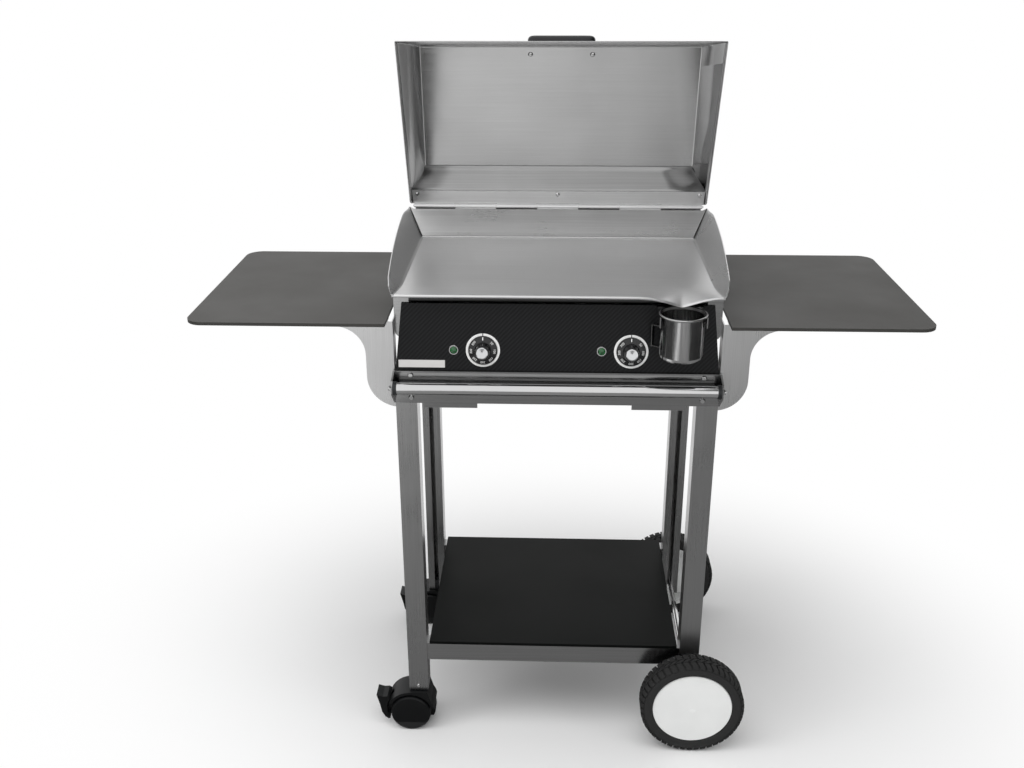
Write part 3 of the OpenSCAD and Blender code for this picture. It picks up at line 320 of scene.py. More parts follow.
@dataclass(frozen=True)
class TwillFilm(Finish):
    """Vinyl film with a woven look on the fascia: 2 by 2 twill, its ribs rising to the right; the
    lighter warp tows and tow crowns in its colour are painted sheen.
    """

    tow_mm: float = 2.1
    repeat_tows: float = 4.0
    over_tows: float = 1.5
    # shares of the second colour that warp and weft tows get at their crowns: painted sheen of the
    # weave
    warp_painted_sheen: float = 0.75
    weft_painted_sheen: float = 0.2
    weft_wear: float = 0.08
    relief: tuple[float, float] = (0.08, 0.35)

    def dress(self, tree: Tree, shader: Node) -> None:
        """Draws the twill from the column and row of each tow.

        Args:
            tree: Tree of the material.
            shader: Its shader.
        """
        tow, bare = self.tow_mm * MM, self.roughness + self.weft_wear
        # Each line names what it finds, its operation, and the names or numbers that it works on
        weave: tuple[tuple[str | float, ...], ...] = (
            ("across", "DIVIDE", "x", tow),
            ("up", "DIVIDE", "z", tow),
            ("column", "FLOOR", "across"),
            ("row", "FLOOR", "up"),
            ("shift", "SUBTRACT", "column", "row"),
            ("place", "FLOORED_MODULO", "shift", self.repeat_tows),
            ("warp", "LESS_THAN", "place", self.over_tows),
            ("weft part", "FRACT", "up"),
            ("weft angle", "MULTIPLY", "weft part", math.pi),
            ("weft crown", "SINE", "weft angle"),
            ("warp part", "FRACT", "across"),
            ("warp angle", "MULTIPLY", "warp part", math.pi),
            ("warp crown", "SINE", "warp angle"),
            ("change", "SUBTRACT", "warp crown", "weft crown"),
            ("height", "MULTIPLY_ADD", "warp", "change", "weft crown"),
            # painted sheen: warp tows lighter than weft tows, and each tow lightest at its crown
            ("shine", "MULTIPLY_ADD", "warp", self.warp_painted_sheen, self.weft_painted_sheen),
            ("tone", "MULTIPLY", "shine", "height"),
            ("wear", "MULTIPLY_ADD", "warp", -self.weft_wear, bare),
        )
        place = {"Vector": add_node(tree, "TexCoord").outputs["Object"]}
        split = add_node(tree, "SeparateXYZ", links=place)
        found = {"x": split.outputs["X"], "z": split.outputs["Z"]}
        for name, operation, *terms in weave:
            links = {i: found[term] for i, term in enumerate(terms) if isinstance(term, str)}
            values = {i: term for i, term in enumerate(terms) if i not in links}
            node = add_node(tree, "Math", {"operation": operation}, values, links)
            found[name] = node.outputs[0]
        parts = (found[name] for name in ("tone", "wear", "height"))
        self.feed(tree, shader, *parts, relief=self.relief)


@dataclass(frozen=True)
class Moulded(Finish):
    """Injection moulded plastic or phenolic: an even fine spark-eroded grain, slightly worn."""

    grain_mm: float = 1.2  # really about 0.3, drawn as coarse as the picture can show
    relief_mm: float = 0.03

    def grains(self) -> tuple[Grain, ...]:
        """Gives grain in the relief, and clouds in tone and gloss.

        Returns:
            The two noises.
        """
        tone = (0.0, 1.0) if self.light else ()
        return (
            Grain(even(1 / (self.grain_mm * MM)), 2.0, relief=(self.relief_mm, 0.5)),
            Grain(even(14.0), 3.0, tone=tone, wear=self.worn(down=0.05, up=0.06)),
        )


@dataclass(frozen=True)
class Laminate(Finish):
    """Compact laminate board: a hard satin skin with a fine pebble and a fleck in its tone."""

    pebble_mm: float = 2.2  # really about 0.4, drawn as coarse as the picture can show
    fleck_scale: float = 1.7

    def grains(self) -> tuple[Grain, ...]:
        """Gives pebble in the relief, fleck in the tone, and clouds in tone and gloss.

        Returns:
            The three noises.
        """
        size = 1 / (self.pebble_mm * MM)
        return (
            Grain(even(size), 2.0, relief=(0.05, 0.35)),
            Grain(even(size * self.fleck_scale), 4.0, tone=(0.0, 0.6)),
            Grain(even(6.0), 4.0, tone=(0.0, 0.4), wear=self.worn(down=0.05, up=0.07)),
        )


@dataclass(frozen=True)
class Rubber(Finish):
    """Solid tyre rubber: matt, with a fine pitted skin and dust in its hollows."""

    light: str = "#2e2f30"
    pits_per_m: float = 700.0  # really about 3000, drawn as coarse as the picture can show

    def grains(self) -> tuple[Grain, ...]:
        """Gives pits in the relief, and dust in tone and gloss.

        Returns:
            The two noises.
        """
        wear = self.worn(down=0.08, up=0.1)
        return (
            Grain(even(self.pits_per_m), 3.0, relief=(0.05, 0.5)),
            Grain(even(40.0), 5.0, tone=(0.0, 1.0), tone_span=(0.45, 0.7), wear=wear),
        )


@dataclass(frozen=True)
class Lens(Finish):
    """Clear green polycarbonate pilot lens, with the facets of its inner optic."""

    light: str = "#1d6b35"

    def grains(self) -> tuple[Grain, ...]:
        """Gives the facets, in tone and relief."""
        return (Grain(even(420.0), 1.0, tone=(0.0, 1.0), relief=(0.15, 0.3)),)


# Stainless sheet, ground along its length and bent: calm reflections drawn out across the hood
HOOD_STEEL = BrushedSteel(
    "stainless_hood", "#c6c6c6", 0.18, "#cecece", line_mm=160, grit_mm=2.4, relief_mm=0.006
)
# The same sheet, satin ground for the walls: pale, with soft light that fades to the corners
PAN_STEEL = BrushedSteel(
    "stainless_griddle", "#cccccc", 0.3, "#d6d6d6",
    line_mm=220, grit_mm=2.6, spread=0.04, relief_mm=0.001,
)
# Thick plate, ground flat to cook on: the palest and dullest of the steels
PLATE_STEEL = BrushedSteel(
    "stainless_cooking_plate", "#e8e8e8", 0.38, "#f0f0f0",
    line_mm=260, grit_mm=2.6, relief_mm=0.004,
)
# Box section, brushed along its length: upright lines and a grey that changes down the leg
LEG_STEEL = BrushedSteel(
    "stainless_leg", "#a2a2a2", 0.3, "#acacac", brush=Brush.ALONG_Z, line_mm=200, relief_mm=0.006
)
# Thin bright sheet of the frame and the housing: dark and light bands with sharp borders
SHEET_STEEL = BrushedSteel(
    "stainless_rail", "#a0a0a0", 0.15, "#acacac",
    line_mm=180, grit_mm=1.8, spread=0.05, relief_mm=0.005,
)
# Satin sheet of the brackets, brushed upright: one even pale face
BRACKET_STEEL = BrushedSteel(
    "stainless_bracket", "#d4d4d4", 0.3, "#dedede",
    brush=Brush.ALONG_Z, line_mm=120, relief_mm=0.006,
)
# Mill sheet inside the hood, not polished: it keeps the tone of the panel above it
LINER_STEEL = BrushedSteel(
    "stainless_hood_liner", "#a4a4a4", 0.36, "#b0b0b0",
    line_mm=260, grit_mm=3.0, spread=0.04, relief_mm=0.003,
)
# Sheet rolled round, painted nearly black: painted shade under the plate and in the corner folds;
# it keeps one soft line of light
PAINTED_SHADE_STEEL = BrushedSteel(
    "stainless_painted_shade", "#3c3c3c", 0.24, "#484848", line_mm=120, relief_mm=0.004
)
# Drawn nickel steel tube browned by heat: a dull warm grey
HEATER_STEEL = BrushedSteel("nickel_steel_heater_sheath", "#4d4844", 0.42, "#645c54", spread=0.1)
# Drawn and polished bar and screw heads: crisp long highlights
BRIGHT_STEEL = PolishedSteel("stainless_polished", "#d4d4d4", 0.10)
# Spun cup, polished: soft upright bands of light and dark
CUP_STEEL = PolishedSteel("stainless_cup", "#c4c4c4", 0.17, brush=Brush.ALONG_Z)
# Plated caps: bright and faintly blue
CHROME = PolishedSteel("chrome_plate", "#d6d7d8", 0.07)
# Printed vinyl on the fascia: black, with a weave that shows in slanting light; the lighter warp
# tows and tow crowns in its colour are painted sheen
FASCIA_FILM = TwillFilm("vinyl_twill_film", "#09090a", 0.38, "#222325", gloss=0.2)
# Lacquered aluminium strip: flat and almost white
BARE_LABEL = Moulded("lacquered_aluminium_label", "#d6d4d3", 0.4, "#e0dedd", relief_mm=0.004)
# Pressed phenolic of the knobs: deep black with a wet shine
KNOB_PLASTIC = Moulded("phenolic_knob", "#101012", 0.26, coat=0.25)
# Screen print: flat white
PRINT_WHITE = Moulded("printed_white_ink", "#f0f0ee", 0.42, "#ffffff", relief_mm=0.005)
# Pressed phenolic of the grip: satin black
GRIP_PLASTIC = Moulded("phenolic_grip", "#131416", 0.34)
# Moulded polyamide of the castors: matt black that hardly shines
CASTOR_PLASTIC = Moulded("polyamide_castor", "#08090a", 0.4, "#0e0f10", gloss=0.25)
# Moulded polyamide of small fittings: dark grey
BLACK_PLASTIC = Moulded("polyamide_black", "#16171a", 0.45, "#1e2022")
# Fired steatite bodies of the thermostats: dry beige
CERAMIC = Moulded("steatite_thermostat", "#8f897c", 0.6, "#a19b8d")
# Pressed laminate of the side shelves: slate grey with a fine pebble
BOARD_GREY = Laminate("compact_laminate_grey", "#363533", 0.5, "#403f3d", gloss=0.3)
# The same board for the lower shelf: black, with hardly a shine
BOARD_BLACK = Laminate("compact_laminate_black", "#050706", 0.4, "#0a0c0b", gloss=0.08)
# Vulcanised tyre rubber: dead black, with dust in the tread
TYRE = Rubber("tyre_rubber", "#060607", 0.75, "#131314", gloss=0.2)
# Moulded nitrile of the feet: dull and dusty
FOOT_RUBBER = Rubber("nitrile_foot", "#161617", 0.7)
# Moulded polypropylene of the wheel discs: clean white with a weak sheen
DISC_PLASTIC = Moulded("polypropylene_disc", "#eaebea", 0.36, "#f1f2f1", relief_mm=0.01)
# Moulded lens: dark green glass, with lighter green in the facets of its optic
LENS_GREEN = Lens("polycarbonate_lens", "#061f0e", 0.10, coat=0.6)

ENDS = ("front", "rear")
CORNERS = ("front_left", "front_right", "rear_left", "rear_right")
DRESS: dict[Finish, tuple[str, ...]] = {
    HOOD_STEEL: ("hood_shell",),
    PAN_STEEL: ("griddle_pan",),
    PLATE_STEEL: ("hinge_leaf_hood", "hinge_leaf_pan"),
    LEG_STEEL: tuple("leg_" + corner for corner in CORNERS),
    SHEET_STEEL: (
        "front_apron", "rear_apron", "side_rail_left", "side_rail_right", "lower_rail_front",
        "lower_rail_rear", "housing", "cup_hanger", "pilot_bezels",
    ),
    BRACKET_STEEL: tuple("bracket_" + corner for corner in CORNERS),
    HEATER_STEEL: ("heating_elements",),
    BRIGHT_STEEL: (
        "towel_bar", "bar_nuts", "frame_bolts", "strip_bolts", "wheel_axle", "hinge_pin",
    ),
    CUP_STEEL: ("grease_cup",),
    CHROME: ("knob_cap_left", "knob_cap_right"),
    FASCIA_FILM: ("fascia",),
    BARE_LABEL: ("blank_plate",),
    KNOB_PLASTIC: ("knob_left", "knob_right"),
    PRINT_WHITE: ("dial_rings",),
    GRIP_PLASTIC: ("hood_handle_grip", "hood_handle_posts"),
    CASTOR_PLASTIC: tuple(
        f"castor_{end}_{part}" for part in ("body", "wheels", "pedal") for end in ENDS
    ),
    BLACK_PLASTIC: ("bar_bushes", "power_gland", "castor_plugs"),
    CERAMIC: ("thermostats",),
    BOARD_GREY: ("shelf_left", "shelf_right"),
    BOARD_BLACK: ("lower_shelf",),
    TYRE: tuple(f"wheel_{end}_tyre" for end in ENDS),
    FOOT_RUBBER: ("housing_feet",),
    DISC_PLASTIC: tuple(f"wheel_{end}_disc" for end in ENDS),
    LENS_GREEN: ("pilot_lenses",),
}


@dataclass
class Bench:
    """Makes mesh pieces, dresses them and sets them on their bodies."""

    frame: dict[str, Any]
    smooth_below: float = math.radians(35)

    def piece(
        self, name: str, mesh: Mesh, finish: Finish, body: str, slot: str, smooth: bool = True
    ) -> Object:
        """Turns a mesh into a piece of the object.

        Args:
            name: Name of the piece.
            mesh: Its mesh, in place; it is freed here.
            finish: Its finish.
            body: Body that it rides on.
            slot: Material slot of the record; not used.
            smooth: Whether its gentle edges are shaded smooth.

        Returns:
            The new object.
        """
        data = bpy.data.meshes.new(name)
        bmesh.ops.recalc_face_normals(mesh, faces=mesh.faces)
        mesh.to_mesh(data)
        mesh.free()
        made = bpy.data.objects.new(name, data)
        bpy.context.scene.collection.objects.link(made)
        data.materials.append(finish.material())
        if smooth:
            data.shade_smooth()
            data.set_sharp_from_angle(angle=self.smooth_below)
        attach(made, body)
        LOG.info("piece %s on %s", name, body)
        return made

    def dress_nodes(self) -> None:
        """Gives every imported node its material."""
        for finish, names in DRESS.items():
            for name in names:
                data = self.frame["nodes"][name].data
                data.materials.clear()
                data.materials.append(finish.material())
                LOG.info("node %s in %s", name, finish.name)


def spin(
    mesh: Mesh, outline: Profile, steps: int, closed: bool = True, place: Matrix | None = None
) -> None:
    """Turns an outline about the Y axis.

    Args:
        mesh: Mesh that gets the faces.
        outline: Radius and Y of each point, in millimetres; a radius of 0 is a point on the axis.
        steps: Number of facets round the axis.
        closed: Whether the last point joins the first.
        place: Where the turned form goes, if not on the Y axis.
    """
    before = set(mesh.verts)
    poles = {i: mesh.verts.new((0, y * MM, 0)) for i, (r, y) in enumerate(outline) if r == 0}
    rings = []
    for step in range(steps):
        turn = 2 * math.pi * step / steps
        rings.append(
            [
                poles.get(i)
                or mesh.verts.new((r * MM * math.cos(turn), y * MM, r * MM * math.sin(turn)))
                for i, (r, y) in enumerate(outline)
            ]
        )
    count = len(outline)
    for step in range(steps):
        now, then = rings[step], rings[(step + 1) % steps]
        for i in range(count if closed else count - 1):
            j = (i + 1) % count
            corners = list(dict.fromkeys((now[i], now[j], then[j], then[i])))
            if len(corners) > 2:
                mesh.faces.new(corners)
    if place is not None:
        fresh = [vert for vert in mesh.verts if vert not in before]
        bmesh.ops.transform(mesh, matrix=place, verts=fresh)


def rod(mesh: Mesh, start: Sequence[float], end: Sequence[float], radius: float) -> None:
    """Adds a round rod between two points.

    Args:
        mesh: Mesh that gets the rod.
        start: Its first end, in millimetres.
        end: Its other end.
        radius: Its radius.
    """
    way = Vector(end) - Vector(start)
    turn = way.to_track_quat("Y", "Z").to_matrix().to_4x4()
    outline = [(0.0, 0.0), (radius, 0.0), (radius, way.length), (0.0, way.length)]
    spin(mesh, outline, ROD_FACETS, False, Matrix.Translation(Vector(start) * MM) @ turn)


def lay(mesh: Mesh, rows: Rows) -> None:
    """Joins each row of points to the next with quads.

    Args:
        mesh: Mesh that gets the faces.
        rows: The rows, with as many points each.
    """
    for now, then in zip(rows, rows[1:]):
        for i in range(len(now) - 1):
            mesh.faces.new((now[i], now[i + 1], then[i + 1], then[i]))


def tube(mesh: Mesh, rings: Rows) -> None:
    """Joins each closed ring of points to the next, and closes both ends.

    Args:
        mesh: Mesh that gets the faces.
        rings: The rings, with as many points each.
    """
    count = len(rings[0])
    for now, then in zip(rings, rings[1:]):
        for i in range(count):
            j = (i + 1) % count
            mesh.faces.new((now[i], now[j], then[j], then[i]))
    mesh.faces.new(rings[0])
    mesh.faces.new(rings[-1])


def arc_block(
    mesh: Mesh, section: Profile, start: float, end: float, skew: float, steps: int = 3
) -> None:
    """Draws a closed section along an arc about the Y axis.

    Args:
        mesh: Mesh that gets the block.
        section: Radius and Y of its corners, in millimetres.
        start: First angle, in radians.
        end: Last angle.
        skew: Turn added for each millimetre of Y.
        steps: Facets along the arc.
    """
    rings = []
    for step in range(steps + 1):
        turn = start + (end - start) * step / steps
        ring = []
        for radius, y in section:
            at = turn + skew * y
            ring.append(
                mesh.verts.new((radius * MM * math.cos(at), y * MM, radius * MM * math.sin(at)))
            )
        rings.append(ring)
    tube(mesh, rings)


def soften(piece: Object, width_mm: float, segments: int = 2) -> None:
    """Rounds a piece's sharp edges, as moulding or deburring does.

    Args:
        piece: The piece.
        width_mm: Width of the rounding.
        segments: Facets across it.
    """
    bevel = piece.modifiers.new("soft edges", "BEVEL")
    bevel.width = width_mm * MM
    bevel.segments = segments
    bevel.limit_method = "ANGLE"
    bevel.angle_limit = SHARP_ABOVE
    bevel.harden_normals = True


@dataclass
class TreadedTyre:
    """Solid rubber tyre with two rows of shoulder lugs and a broken rib between them."""

    bench: Bench
    body: str
    node: str
    lugs: int = 46
    facets: int = 184
    groove_mm: float = 3.6
    bead_mm: float = 80.6
    lug_share: float = 0.72
    stagger: float = 0.5
    rib_share: tuple[float, float] = (0.1, 0.86)  # start and end in a pitch
    rib_half_mm: float = 4.4
    skews: tuple[float, float] = (0.0025, -0.012)  # of the lugs and of the rib, a millimetre
    sunk_mm: float = 0.6
    edge_mm: float = 0.45

    def build(self) -> None:
        """Builds the tyre in the place of its plain node."""
        low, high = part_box(self.node)
        radius = (high.z - low.z) / 2 / MM
        half = (high.y - low.y) / 2 / MM
        bead, floor = self.bead_mm, radius - self.groove_mm
        mesh = bmesh.new()
        side = [
            (bead, half - 6),
            (bead + 1.2, half - 3.4),
            (bead + 3.4, half - 1.4),
            (bead + 6, half - 0.9),
            (radius - 14, half - 0.5),
            (radius - 9, half - 0.6),
            (radius - 7.6, half - 1.2),
            (radius - 6.8, half - 2.4),
            (floor - 1.5, half - 5),
            (floor, half - 9),
        ]
        spin(mesh, side + [(r, -y) for r, y in reversed(side)], self.facets)
        pitch = 2 * math.pi / self.lugs
        root = floor - self.sunk_mm
        shoulder = [
            (radius - 6.4, half - 1.6),
            (radius - 4.6, half - 0.4),
            (radius - 1.6, half - 2.6),
            (radius, half - 7),
            (radius, half - 19),
            (root, half - 19),
            (root, half - 10),
            (radius - 7, half - 4.4),
        ]
        other = [(r, -y) for r, y in shoulder]
        wide = self.rib_half_mm
        rib = [(radius, wide), (radius, -wide), (root, -wide), (root, wide)]
        rib_start, rib_end = self.rib_share
        lug_skew, rib_skew = self.skews
        for i in range(self.lugs):
            at = i * pitch
            back = at + self.stagger * pitch
            arc_block(mesh, shoulder, at, at + self.lug_share * pitch, lug_skew)
            arc_block(mesh, other, back, back + self.lug_share * pitch, lug_skew)
            arc_block(mesh, rib, at + rib_start * pitch, at + rib_end * pitch, rib_skew)
        bmesh.ops.translate(mesh, verts=mesh.verts, vec=(low + high) / 2)
        made = self.bench.piece(self.node + "_treaded", mesh, TYRE, self.body, "tyre_rubber")
        soften(made, self.edge_mm)
        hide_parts(self.node)


@dataclass
class Griddle:
    """Griddle of folded sheet: plate with a half-round nose and a spout, and leaning walls."""

    bench: Bench
    half_mm: float = 288.0
    front_mm: float = -212.75
    deep_mm: float = 400.0
    top_mm: float = 970.0
    plate_mm: float = 6.0
    nose_mm: float = 3.0
    wall_mm: float = 2.5
    side_lean: float = 0.565
    back_lean: float = 0.9
    back_high_mm: float = 50.0
    corner_high_mm: float = 54.0
    corner_run_mm: tuple[float, float] = (150.0, 70.0)  # start in Y, and length
    arc_mm: tuple[float, float, float] = (279.7, -2369.4, 3400.0)  # centre in Y and Z, radius
    fold_mm: float = 3.4
    fold_rows: int = 5
    wall_rows: int = 7
    side_steps: int = 30
    side_crowd: float = 1.6
    back_steps: int = 20
    corner_gap: float = 0.012
    spout_mm: float = 221.5
    spout_half_mm: float = 62.0
    spout_drop_mm: float = 17.0
    spout_run_mm: float = 58.0
    spout_thin_mm: float = 2.7
    spout_heel_mm: float = 6.0
    spout_curve: tuple[float, float] = (1.55, 1.6)  # powers across and along
    flare_mm: float = 9.5
    flare_run_mm: float = 75.0
    flare_fade: float = 0.04
    flare_edge: float = 0.08
    end_drop_mm: float = 8.5
    end_run_mm: float = 22.0
    backing_mm: tuple[float, float, float] = (612.0, 1.0, 19.0)
    backing_at_mm: tuple[float, float] = (54.0, 46.0)  # behind and above the plate's back edge
    weld_mm: float = 1.3
    seam_mm: float = 1.1
    weld_at_mm: tuple[float, float] = (1.0, 1.2)  # inside the fold, and above the plate
    seam_short_mm: float = 1.5

    def dip(self, x: float, y: float) -> float:
        """Gives how deep the spout is at a point of the plate.

        Args:
            x: Place across, in millimetres.
            y: Place in depth.

        Returns:
            The depth, from 0 to 1.
        """
        heel = self.spout_heel_mm
        off = math.hypot(x - self.spout_mm, heel) - heel
        across = max(0.0, 1 - off / self.spout_half_mm)
        along = min(1.0, max(0.0, 1 - (y - self.front_mm) / self.spout_run_mm))
        return across ** self.spout_curve[0] * along ** self.spout_curve[1]

    def plate(self, mesh: Mesh) -> None:
        """Adds the plate, whose front edge is round and follows the spout.

        Args:
            mesh: Mesh that gets the plate.
        """
        # the columns stand closer at the spout, and the rows closer at the nose
        across = [i / 12 for i in range(-12, 9)] + [8 / 12 + i / 96 for i in range(1, 33)]
        deep = [0.0, 1.5, 3.0, 5.0, 7.5, 10.5, 14.0, 18.0, 22.5, 27.5, 33.0, 39.0, 46.0, 53.0, 60.0]
        deep += [90.0 + 31 * i for i in range(11)]
        columns = []
        for share in across:
            ring = []
            edge = max(0.0, abs(share) - (1 - self.flare_edge)) / self.flare_edge
            for low in (False, True):
                for at in deep if low else deep[::-1]:
                    x = share * self.half_mm + math.copysign(self.flare(at) * edge, share)
                    y = self.front_mm + at
                    dip = self.dip(x, y)
                    thick = self.plate_mm - self.spout_thin_mm * dip
                    nose = max(0.0, 1 - at / self.nose_mm)
                    pinch = thick / 2 * (1 - math.sqrt(max(0.0, 1 - nose * nose)))
                    z = self.top_mm - self.spout_drop_mm * dip
                    z += pinch - thick if low else -pinch
                    ring.append(mesh.verts.new((x * MM, y * MM, z * MM)))
            columns.append(ring)
        tube(mesh, columns)

    def wall_height(self, y: float) -> float:
        """Gives the height of a side wall: an arc that comes down at the front and at the back.

        Args:
            y: Place in depth, in millimetres.

        Returns:
            The height above the plate.
        """
        at_y, at_z, radius = self.arc_mm
        high = at_z + math.sqrt(radius**2 - (y - at_y) ** 2) - self.top_mm
        high -= self.end_drop_mm * max(0.0, 1 - (y - self.front_mm) / self.end_run_mm) ** 2
        start, run = self.corner_run_mm
        share = min(1.0, max(0.0, (y - start) / run))
        return high + (self.corner_high_mm - high) * share * share * (3 - 2 * share)

    def flare(self, at: float) -> float:
        """Gives how far the sides of the plate swing out at a distance from the front edge."""
        return self.flare_mm * max(0.0, 1 - at / self.flare_run_mm) ** 2

    def rise(self, row: int, wall: str, share: float) -> tuple[float, float, float]:
        """Gives a row of the sheet: how high it is, and how far out and behind.

        Args:
            row: Number of the row, from the plate up.
            wall: Name of the wall.
            share: Place along a side wall, from 0 at the front to 1.

        Returns:
            Height, outward and backward distance, in millimetres.
        """
        fold, side, behind = self.fold_mm, self.side_lean, self.back_lean
        if row <= self.fold_rows:
            t = row / self.fold_rows
            high = fold * t * t
            return (
                high,
                side * high - fold * math.hypot(1, side) * (1 - t) ** 2,
                behind * high - fold * math.hypot(1, behind) * (1 - t) ** 2,
            )
        top = self.back_high_mm
        # how deep a side wall reaches depends on its height, so the two are found by turns
        for _ in range(4 if wall != "back" else 0):
            reach = self.deep_mm + behind * top
            top = self.wall_height(self.front_mm + share * reach)
        high = fold + (top - fold) * (row - self.fold_rows) / self.wall_rows
        return high, side * high, behind * high

    def walls(self, mesh: Mesh) -> None:
        """Adds the three walls as one sheet, with a rounded fold at the plate and mitred corners.

        Args:
            mesh: Mesh that gets the sheet.
        """
        back = self.front_mm + self.deep_mm
        # the stations of a side wall stand closer at the front
        side = [(i / self.side_steps) ** self.side_crowd for i in range(self.side_steps + 1)]
        stations = [("left", share) for share in side] + [("back", self.corner_gap)]
        stations += [("back", i / self.back_steps) for i in range(1, self.back_steps)]
        stations += [("back", 1 - self.corner_gap)]
        stations += [("right", share) for share in reversed(side)]
        rows = []
        for number in range(self.fold_rows + self.wall_rows + 1):
            row = []
            for wall, share in stations:
                high, out, behind = self.rise(number, wall, share)
                edge = self.half_mm + out
                if wall == "back":
                    x, y = edge * (2 * share - 1), back + behind
                else:
                    y = self.front_mm + share * (self.deep_mm + behind)
                    edge += self.flare(y - self.front_mm) * max(0.0, 1 - self.flare_fade * high)
                    x = edge * (-1 if wall == "left" else 1)
                row.append(mesh.verts.new((x * MM, y * MM, (self.top_mm + high) * MM)))
            rows.append(row)
        lay(mesh, rows)

    def backing(self) -> None:
        """Adds the strip that closes the gap between the back wall and the hinge."""
        mesh = bmesh.new()
        block = bmesh.ops.create_cube(mesh, size=1.0)["verts"]
        behind, up = self.backing_at_mm
        spot = Vector((0, self.front_mm + self.deep_mm + behind, self.top_mm + up)) * MM
        size = Matrix.Diagonal((*(Vector(self.backing_mm) * MM), 1))
        bmesh.ops.transform(mesh, matrix=Matrix.Translation(spot) @ size, verts=block)
        made = self.bench.piece("hinge_backing", mesh, SHEET_STEEL, "cart", "stainless")
        soften(made, width_mm=0.3)

    def seams(self) -> None:
        """Adds the polished weld along the back fold and the ground seams of the two corners; the
        seams are painted nearly black as painted shade in the corner folds.
        """
        back, high = self.front_mm + self.deep_mm, self.corner_high_mm - self.seam_short_mm
        weld, seam = bmesh.new(), bmesh.new()
        inset, lift = self.weld_at_mm
        x, y, z = self.half_mm - inset, back - inset, self.top_mm + lift
        top = (self.half_mm + self.side_lean * high, back + self.back_lean * high)
        rod(weld, (-x, y, z), (x, y, z), self.weld_mm)
        for sign in (-1, 1):
            rod(seam, (sign * x, y, z), (sign * top[0], top[1], self.top_mm + high), self.seam_mm)
        self.bench.piece("griddle_back_weld", weld, BRIGHT_STEEL, "cart", "polished_steel")
        # the corner seams are real; their near-black colour is painted shade in the corner folds
        self.bench.piece("griddle_corner_seams", seam, PAINTED_SHADE_STEEL, "cart", "stainless")

    def build(self) -> None:
        """Builds the griddle in the place of its node."""
        plate = bmesh.new()
        self.plate(plate)
        made = self.bench.piece("griddle_plate", plate, PLATE_STEEL, "cart", "stainless")
        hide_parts("griddle_pan")
        sheet = bmesh.new()
        self.walls(sheet)
        walls = self.bench.piece("griddle_walls", sheet, PAN_STEEL, "cart", "stainless")
        if walls.data.polygons[0].normal.z < 0:
            walls.data.flip_normals()
        thick = walls.modifiers.new("sheet", "SOLIDIFY")
        thick.thickness, thick.offset, thick.use_even_offset = self.wall_mm * MM, -1.0, True
        soften(walls, width_mm=0.7)
        self.backing()
        self.seams()


